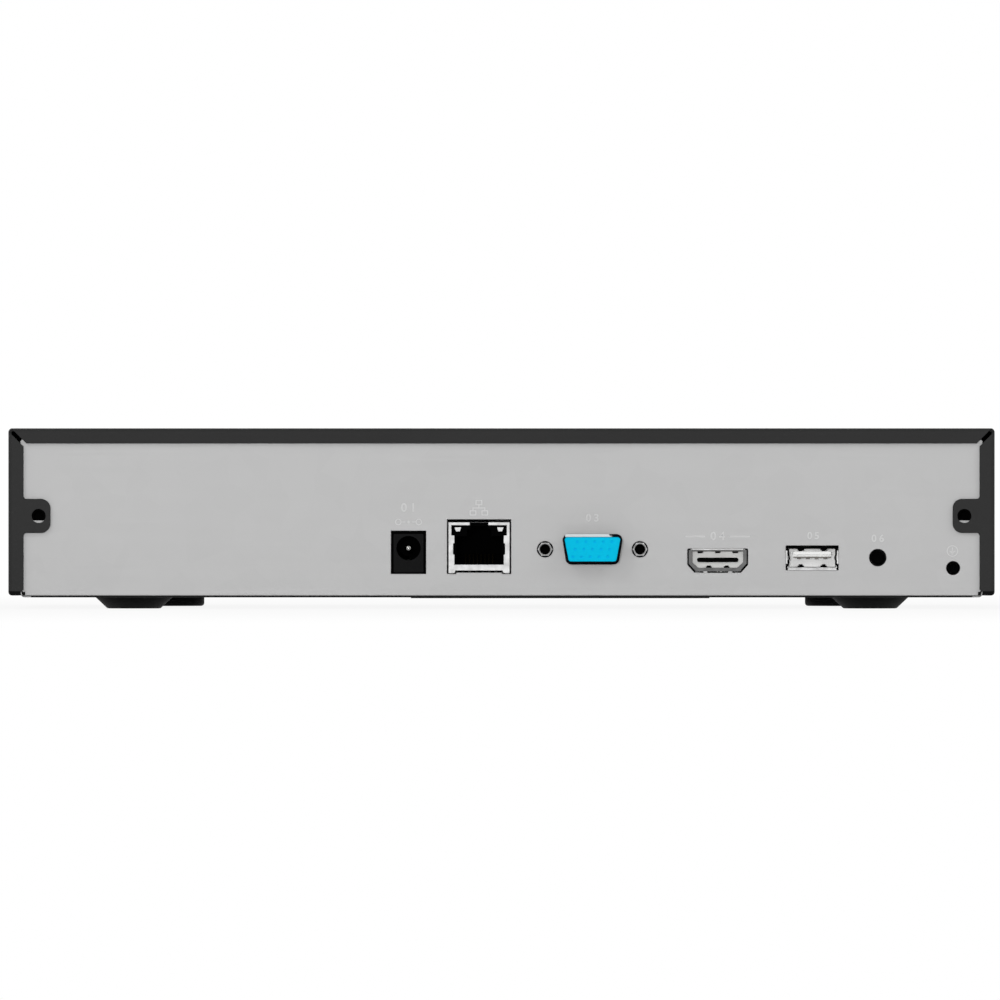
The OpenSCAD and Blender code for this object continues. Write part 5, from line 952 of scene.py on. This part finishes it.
strewn = strewn_tree()
free_areas = [(-72, 36, -62, 48), (-58, 28, -24, 44), (-6, 24, 8, 44), (12, 26, 34, 44), (-20, 50, -6, 68),
              (-104, 58, -76, 70), (-104, 82, -94, 96), (-78, 78, -66, 94), (-52, 90, -44, 100), (24, 50, 36, 56)]
for name, size, tone, seed in (("capacitor", (1.6, 0.8, 0.8), (0.42, 0.30, 0.16), 3),
                               ("resistor", (1.6, 0.8, 0.5), (0.02, 0.02, 0.022), 11)):
    look = moulded(name + "_body", tone, 0.4, 0.5)
    for ends, finish, slot in ((0.0, look, "chip_resin"), (1.0, tin, "plated_shell")):
        ground, z = Shape(), board_top + size[2] / 2
        for area in free_areas:
            ground.mesh.faces.new([ground.mesh.verts.new((x / 1e3, y / 1e3, z / 1e3)) for x, y in box(*area)])
        parts = grown(strewn, finish, ground.flat("ground"), Spacing=0.0032, Size=[side / 1e3 for side in size],
                      Ends=ends, Seed=seed)
        settle(placed(f"board_{name}_{'ends' if ends else 'bodies'}", parts))

# Chips: the processor under its thermal pad and heat sink, two memories beside it, the network
# transformer, and gull-wing packages with a dimple at their first lead.
resin = moulded("chip_resin", (0.016, 0.016, 0.018), 0.55, 0.25, 0.01, 0.08)
dress(resin, "processor")
dress(moulded("thermal_pad", (0.38, 0.44, 0.47), 0.8, 0.6, 0.02), "thermal_pad")
memories, packages, legs = Shape(), Shape(), Shape()
for y in (60.2, 75.2):
    body = pad(-67, y, 4.5, 6.5, 0.3)
    memories.plate([body, arc(-70.4, y + 5.4, 0.35, steps=16)], board_top + 0.3, 10.3)
    memories.plate([body], board_top, board_top + 0.3)
memories.piece("memory_packages", resin, "chip_resin", instead_of=("memory_chips",), bevel=0.06)
transformer_y = 81.9
for x, y, (wide, deep, high), count in (
        (lan_x, transformer_y, (14, 9, 5.4), 8), (13.7, 67.4, (5, 4, 1.6), 4), (13.7, 51.4, (5, 4, 1.6), 4),
        (5.9, 62.9, (8, 8, 1.2), 8), (-89.9, 77.6, (6, 4, 1.7), 4)):
    top, step, middle = board_top + high, wide / count, board_top + high * 0.45
    body = pad(x, y, wide / 2, deep / 2, 0.15)
    packages.plate([body, arc(x - wide / 2 + 0.7, y - deep / 2 + 0.7, 0.28, steps=16)], top - 0.25, top)
    packages.plate([body], board_top + 0.15, top - 0.25)
    bends = ((-0.2, middle), (0.3, middle), (0.5, middle - 0.1), (0.62, 9.45), (0.8, 9.3), (1.15, 9.27))
    for lead in range(count):
        for side in (-1, 1):
            path = [(x + (lead - (count - 1) / 2) * step, y + side * (deep / 2 + out), z) for out, z in bends]
            legs.sweep(path, box(-step * 0.2, -0.07, step * 0.2, 0.07))
    if y == transformer_y:
        packages.piece("transformer_body", resin, "chip_resin", instead_of=("network_transformer",), bevel=0.1)
        packages = Shape()
packages.piece("leaded_packages", resin, "chip_resin", instead_of=("regulators",), bevel=0.05)
legs.piece("package_leads", tin, "plated_shell")

# Heat sink: an extruded, black-anodised comb of eleven fins held by two spring pins of nylon.
# The die leaves fine lines along it, and its edges are worn bare.
anodised = Finish("black_anodised", (0.018, 0.019, 0.021), 0.4, 0.6, Specular_IOR_Level=0.3)
die_lines = anodised.noise((0.3, 30, 0.3))
coat = anodised.mix(die_lines, (0.014, 0.015, 0.017), (0.024, 0.025, 0.028))
anodised.set("Base Color", anodised.mix(anodised.band(anodised.edges(0.2), 0.1, 0.3), coat, (0.11, 0.11, 0.12)))
anodised.set("Roughness", 0.34 + 0.14 * die_lines)
anodised.relief(die_lines, 0.02, 0.15)
dress(anodised, "heat_sink")
pins = Shape()
for side in (-1, 1):
    pins.lathe([(0, board_top), (1.0, board_top), (1.3, 9.6), (1.3, 13.6), (2.8, 13.6), (2.8, 14.3), (1.5, 14.5),
                *ridges(1.55, 0.35, 14.6, 0.3, 8), (2.6, 17.1), (2.6, 18.0), (2.2, 18.6), (0, 18.7)],
               (-40 + side * 16, 67.7 - side * 16, 0), sides=32)
pins.piece("heat_sink_pushpins", moulded("pin_nylon", (0.66, 0.66, 0.60), 0.4), "pin_nylon",
           instead_of=("heat_sink_pins",), sharp=50)

# Power parts: wound coils between ferrite flanges, aluminium can capacitors with a scored vent and
# a dark polarity mark, crystal cans and the buzzer.
ferrite = moulded("ferrite", (0.045, 0.045, 0.047), 0.5, 0.3, 0.02)
copper = plated("copper_wire", (0.72, 0.30, 0.14), 0.3, (0.3, 0.3, 0.3))
flanges, windings = Shape(), Shape()
core = [(0, 10.2), (3.3, 10.2), (3.3, 10.5), (2.4, 10.5), (2.4, 12.2), (3.3, 12.2), (3.3, 13.0), (0, 13.0)]
turns = [(3.05 + 0.12 * math.sin(step * math.pi / 2), 10.5 + step * 0.106) for step in range(17)]
for y in (83.4, 72.4, 61.4):
    flanges.plate([pad(20.5, y, 3.6, 3.6, 0.6)], board_top, 10.2)
    flanges.lathe(core, (20.5, y, 0), sides=40)
    windings.lathe([(2.35, 10.5), (2.6, 10.5), *turns, (2.6, 12.2), (2.35, 12.2)], (20.5, y, 0), sides=40,
                   closed=True)
flanges.piece("coil_flanges", ferrite, "ferrite", instead_of=("inductors",), bevel=0.1)
windings.piece("coil_windings", copper, "gold_plate", sharp=70)
cans, bases, marks = Shape(), Shape(), Shape()
for x, y, wide in ((32.5, 83.7, 8), (32.5, 72.7, 8), (32.5, 61.7, 6.3), (-12, 75.7, 6.3)):
    radius, top = wide / 2, board_top + wide + 1.6
    cans.lathe([(0, 10.0), (radius - 0.15, 10.0), (radius - 0.1, 10.4), (radius - 0.3, 11.0), (radius - 0.3, 11.3),
                (radius - 0.02, 11.7), (radius - 0.02, top - 0.5), (radius - 0.25, top - 0.12), (radius - 0.5, top),
                (radius - 0.9, top - 0.12), (0, top - 0.12)], (x, y, 0), sides=56)
    marks.plate([arc(x, y, radius - 0.9, 115, 245, 16)], top - 0.14, top - 0.08)
    for turn in (0, 120, 240):
        c, s = math.cos(math.radians(turn)), math.sin(math.radians(turn))
        score = [(c * u - s * v, s * u + c * v) for u, v in box(0, -0.06, radius - 1.1, 0.06)]
        marks.plate([moved(score, x, y)], top - 0.13, top - 0.105)
    half = radius + 0.2
    cut = half - 0.9
    base = [(-half, -cut), (-cut, -half), (half, -half), (half, half), (-cut, half), (-half, cut)]
    bases.plate([moved(base, x, y)], board_top, 10.2)
cans.piece("capacitor_cans", plated("can_aluminium", (0.50, 0.52, 0.54), 0.3, (0.15, 0.15, 6)), "can_aluminium",
           instead_of=("capacitors",), sharp=50)
bases.piece("capacitor_bases", black_nylon, "black_plastic", bevel=0.12)
marks.piece("capacitor_marks", black_and_painted_shade, "black_plastic")
crystals = Shape()
for x in (-60, -18):
    oval = arc(-3.3, 0, 2.2, 90, 270, 12) + arc(3.3, 0, 2.2, -90, 90, 12)
    crystals.plate([moved(oval, x, 89.7)], board_top, 9.6)
    crystals.plate([[(x + u * 0.93, 89.7 + v * 0.86) for u, v in oval]], 9.6, 12.7)
crystals.piece("crystal_cans", bright, "plated_shell", instead_of=("crystals",), bevel=0.25, segments=3)
sounder = Shape()
sounder.lathe([(0, board_top), (5.7, board_top), (6.0, 9.5), (6.0, 17.2), (5.85, 17.55), (5.5, 17.7), (1.15, 17.7),
               (1.0, 17.55), (1.0, 13.2), (0, 13.2)], (-14, 37.7, 0), sides=56)
sounder.piece("buzzer_case", black_nylon, "black_plastic", instead_of=("buzzer",), sharp=40)

# Coin cell: a stainless can with a crimped rim and a plus mark, in a black holder with a spring
# clip across it. Beside it are the cream nylon headers that the cables plug into.
cell_x, cell_y, cell_top = -96, 40.7, 13.6
cell = Shape()
cell.lathe([(0, 10.4), (8.6, 10.4), (9.0, 10.7), (9.2, 11.2), (9.95, 11.3), (10.0, 11.5), (10.0, 13.3),
            (9.8, cell_top), (0, cell_top)], (cell_x, cell_y, 0), sides=72)
cell.piece("coin_cell_can", plated("cell_steel", (0.58, 0.58, 0.57), 0.22, (6, 0.2, 6)), "nickel",
           instead_of=("coin_cell",), sharp=40)
plus = Shape()
plus.plate([moved(cross(2.4, 0.3, 0.3), cell_x, cell_y)], cell_top - 0.01, cell_top + 0.02)
plus.piece("coin_cell_plus", black_nickel, "nickel")
dress(black_nylon, "coin_cell_holder")
dress(moulded("cream_nylon", (0.74, 0.70, 0.60), 0.45, 0.5, 0.01, 0.2), "board_headers", "front_board_header")


# Cables: a flat black data cable and four power wires from the disk to the board, and a grey
# ribbon of eight cores from the front board. Each runs in one loose curve between its two plugs.
def route(points, steps=8):
    """A smooth curve through points."""
    points = [Vector(p) for p in points]
    points = [2 * points[0] - points[1]] + points + [2 * points[-1] - points[-2]]
    curve = []
    for a, b, c, d in zip(points, points[1:], points[2:], points[3:]):
        for step in range(steps):
            t = step / steps
            square, cube = 2 * a - 5 * b + 4 * c - d, 3 * b - a - 3 * c + d
            curve.append(0.5 * (2 * b + (c - a) * t + square * t * t + cube * t ** 3))
    return curve + [points[-2]]


def between(first, last, shares, loop):
    """A route from one plug to another: shares of the way with heights, then a loop over the last."""
    first, last = Vector(first), Vector(last)
    way = last - first
    rise = [first + Vector((way.x * x, way.y * y, z)) for x, y, z in shares]
    return route([first] + rise + [last + Vector(p) for p in loop] + [last])


def turning(share):
    """A flat cable's wide direction, which turns from Y to X along its route."""
    return share, 1 - share, 0


def jacket(name, colour, roughness=0.45):
    return moulded(name, colour, roughness, 1.2, 0.02, 0.0, 0.2)


def cable(name, path, section, wide, finish, nodes, slot="cable_jacket"):
    shape = Shape()
    shape.sweep(path, section, wide)
    made = shape.piece(name, finish, slot, instead_of=nodes, sharp=60)
    length = sum((b - a).length for a, b in zip(path, path[1:])) / 1e3
    [v / 1e3 for v in path[0]]
    [[v / 1e3 for v in p] for p in path]


data_path = between((-37, -5.4, 10), (-67.5, 27.7, 25.2), (
    (0.12, 0, 0), (0.34, 0.02, 1.5), (0.56, 0.11, 7), (0.78, 0.28, 15), (0.91, 0.48, 22)),
    ((-1, -6, 9), (0, -0.8, 7), (0, 0, 3)))
flat_section = soften(box(-3.2, -0.9, 3.2, 0.9), 0.6, 3)
data_jacket = jacket("data_jacket", (0.018, 0.018, 0.020))
cable("data_cable", data_path, flat_section, turning, data_jacket, ("disk_data_cable",))
power_path = between((-38, -26.4, 10), (-83, 25, 20.2), (
    (0.09, 0, 0), (0.31, 0, 0.8), (0.56, 0.04, 4.5), (0.76, 0.16, 11), (0.89, 0.35, 18), (0.96, 0.58, 22)),
    ((-1, -8, 12), (0, -1.5, 8), (0, 0, 3)))
last = len(power_path) - 1
for spot, (name, colour) in enumerate((("yellow", (0.62, 0.42, 0.01)), ("black_one", (0.010, 0.010, 0.011)),
                                       ("black_two", (0.010, 0.010, 0.011)), ("red", (0.42, 0.02, 0.015)))):
    lane = []
    for step, point in enumerate(power_path):
        way = (power_path[min(step + 1, last)] - power_path[max(step - 1, 0)]).normalized()
        side = Vector(turning(step / last))
        lane.append(point + (spot - 1.5) * 2.2 * (side - side.dot(way) * way).normalized())
    cable("power_wire_" + name, lane, arc(0, 0, 0.85, steps=16), turning, jacket("wire_" + name, colour, 0.35),
          ("disk_power_cable",) if not spot else ())
ribbon_path = route([(-98, y, z) for y, z in (
    (-94.1, 25), (-91.6, 25), (-86.1, 23), (-80.1, 16), (-70.1, 6.3), (-38.2, 5), (1.7, 6.3), (10.7, 12.8),
    (16.6, 23.7), (21.7, 23.7), (23.1, 20.2), (23.1, 18.2))])
cores = [(1.275 * (3.5 - core) + 0.55 * math.cos(math.radians(a)), 0.45 * math.sin(math.radians(a)))
         for core in range(8) for a in (35, 90, 145)]
cores += [(u, -v) for u, v in cores[::-1]]
ribbon_grey = jacket("ribbon_grey", (0.27, 0.29, 0.31))
cable("front_ribbon", ribbon_path, cores, (1, 0, 0), ribbon_grey, ("front_cable",), "ribbon_grey")
plug_look = moulded("plug_plastic", (0.022, 0.022, 0.024), 0.5, 0.4, 0.01, 0.3)
at_disk = plug_look.band(plug_look.axis("X"), -77.0, -76.9)
dark = plug_look.mix(plug_look.noise(8.0), (0.018, 0.018, 0.020), (0.028, 0.028, 0.030))
plug_look.set("Base Color", plug_look.mix(at_disk, (0.66, 0.62, 0.52), dark))
dress(plug_look, "cable_plugs")

# Hard disk: a bead-blasted aluminium casting, its satin steel lid held by small screws, a circuit
# board let into its underside and a black socket at its left end.
cast = Finish("cast_aluminium", (0.46, 0.47, 0.48), 0.5, 0.85)
blast = cast.noise(0.35, 4.0)
blasted = cast.mix(cast.noise(18.0), (0.40, 0.41, 0.42), (0.50, 0.51, 0.52))
cast.set("Base Color", cast.mix(cast.band(cast.edges(0.5), 0.05, 0.25), blasted, (0.72, 0.73, 0.74)))
cast.set("Roughness", 0.42 + 0.2 * blast)
cast.relief(blast, 0.04, 0.4)
dress(cast, "disk_housing")
dress(plated("lid_steel", (0.42, 0.43, 0.44), 0.5, (30, 0.3, 30), 0.004, 0.3, metallic=0.8), "disk_lid")
dress(moulded("socket_black", (0.012, 0.012, 0.013), 0.5), "disk_socket")
screws("disk_mounting_screws", zinc, "bright_screw", ("disk_screws",),
       [(x, y, 5.0) for x in (16.28, 92.48) for y in (-90.82, 4.42)], (6.6, 1.7), 5.3, (0, 0, -1), 3.5)
screws("disk_lid_screws", bright, "bright_screw", (),
       [(x, y, 31.9) for x in (-19.5, 116.5) for y in (-88.5, 2.1)], (3.6, 0.6), 0.9, (0, 0, 1), 2.0)

# Platters: two mirror-polished discs with a faint circular grain, clamped to the hub by a ring of
# six small screws.
spindle_x, spindle_y = 70.5, -43.2
mirror = Finish("platter_mirror", (0.80, 0.82, 0.84), 0.04, 1.0)
x, y = mirror.axis("X") - spindle_x, mirror.axis("Y") - spindle_y
ring = (x * x + y * y) ** 0.5
hub = 1 - mirror.band(ring, 12.4, 12.8)
mirror.set("Roughness", 0.03 + 0.07 * mirror.band(abs((ring / 0.35) % 1.0 - 0.5), 0.1, 0.4) + 0.3 * hub)
mirror.relief(abs((ring / 0.2) % 1.0 - 0.5), 0.0004)
dress(mirror, "platter_stack")
clamp = Shape()
clamp.lathe([(5.2, 23.4), (12.2, 23.4), (12.2, 23.9), (11.9, 24.2), (6.4, 24.2), (5.9, 24.5), (5.2, 24.5)],
            (spindle_x, spindle_y, 0), sides=72, closed=True)
screw_head = [(0, 24.1), (1.2, 24.1), (1.2, 24.8), (1.0, 25.0), (0.6, 25.0), (0.55, 24.6), (0, 24.55)]
for x, y in arc(spindle_x, spindle_y, 9.2, steps=6):
    clamp.lathe(screw_head, (x, y, 0), sides=24)
clamp.piece("platter_clamp", bright, "nickel", "platters", sharp=40)

# Actuator: three milled arms with thin suspensions and sliders at their tips, and a copper coil in
# the flag behind the bearing, between the two plates of the magnet yoke.
dress(plated("arm_aluminium", (0.46, 0.47, 0.48), 0.35, (0.4, 5, 0.4), 0.01, 0.2), "head_arm")
dress(plated("magnet_steel", (0.32, 0.33, 0.34), 0.3, (3, 3, 3)), "arm_magnet")
pivot, heading = Vector((13.5, -66, 0)), math.radians(78)
coil, tips, bearing = Shape(), Shape(), Shape()
for z in (18.0, 20.8):
    coil.plate([soften([(4.6, -4.2), (18.3, -8.1), (18.3, 8.1), (4.6, 4.2)], 2.4),
                soften([(7.4, -2.2), (15.6, -4.6), (15.6, 4.6), (7.4, 2.2)], 1.4)], z - 0.15, z + 0.15)
half_tip = [(38, -1.6), (44.5, -0.7), (45.6, -0.4)]
for arm_z in (15.65, 19.4, 23.15):
    tips.plate([half_tip + [(u, -v) for u, v in half_tip[::-1]]], arm_z + 0.46, arm_z + 0.58)
for shape, turn in ((coil, heading + math.pi), (tips, heading)):
    shape.turned(Matrix.Translation(pivot) @ Matrix.Rotation(turn, 4, "Z"))
coil.piece("actuator_coil", copper, "gold_plate", "actuator", bevel=0.08)
tips.piece("arm_suspensions", bright, "arm_aluminium", "actuator")
bearing.lathe([(2.9, 24.1), (5.4, 24.1), (5.4, 24.4), (5.1, 24.6), (3.2, 24.6), (2.9, 24.4)], pivot, sides=40,
              closed=True)
bearing.piece("arm_bearing_cap", bright, "nickel", "actuator", sharp=40)
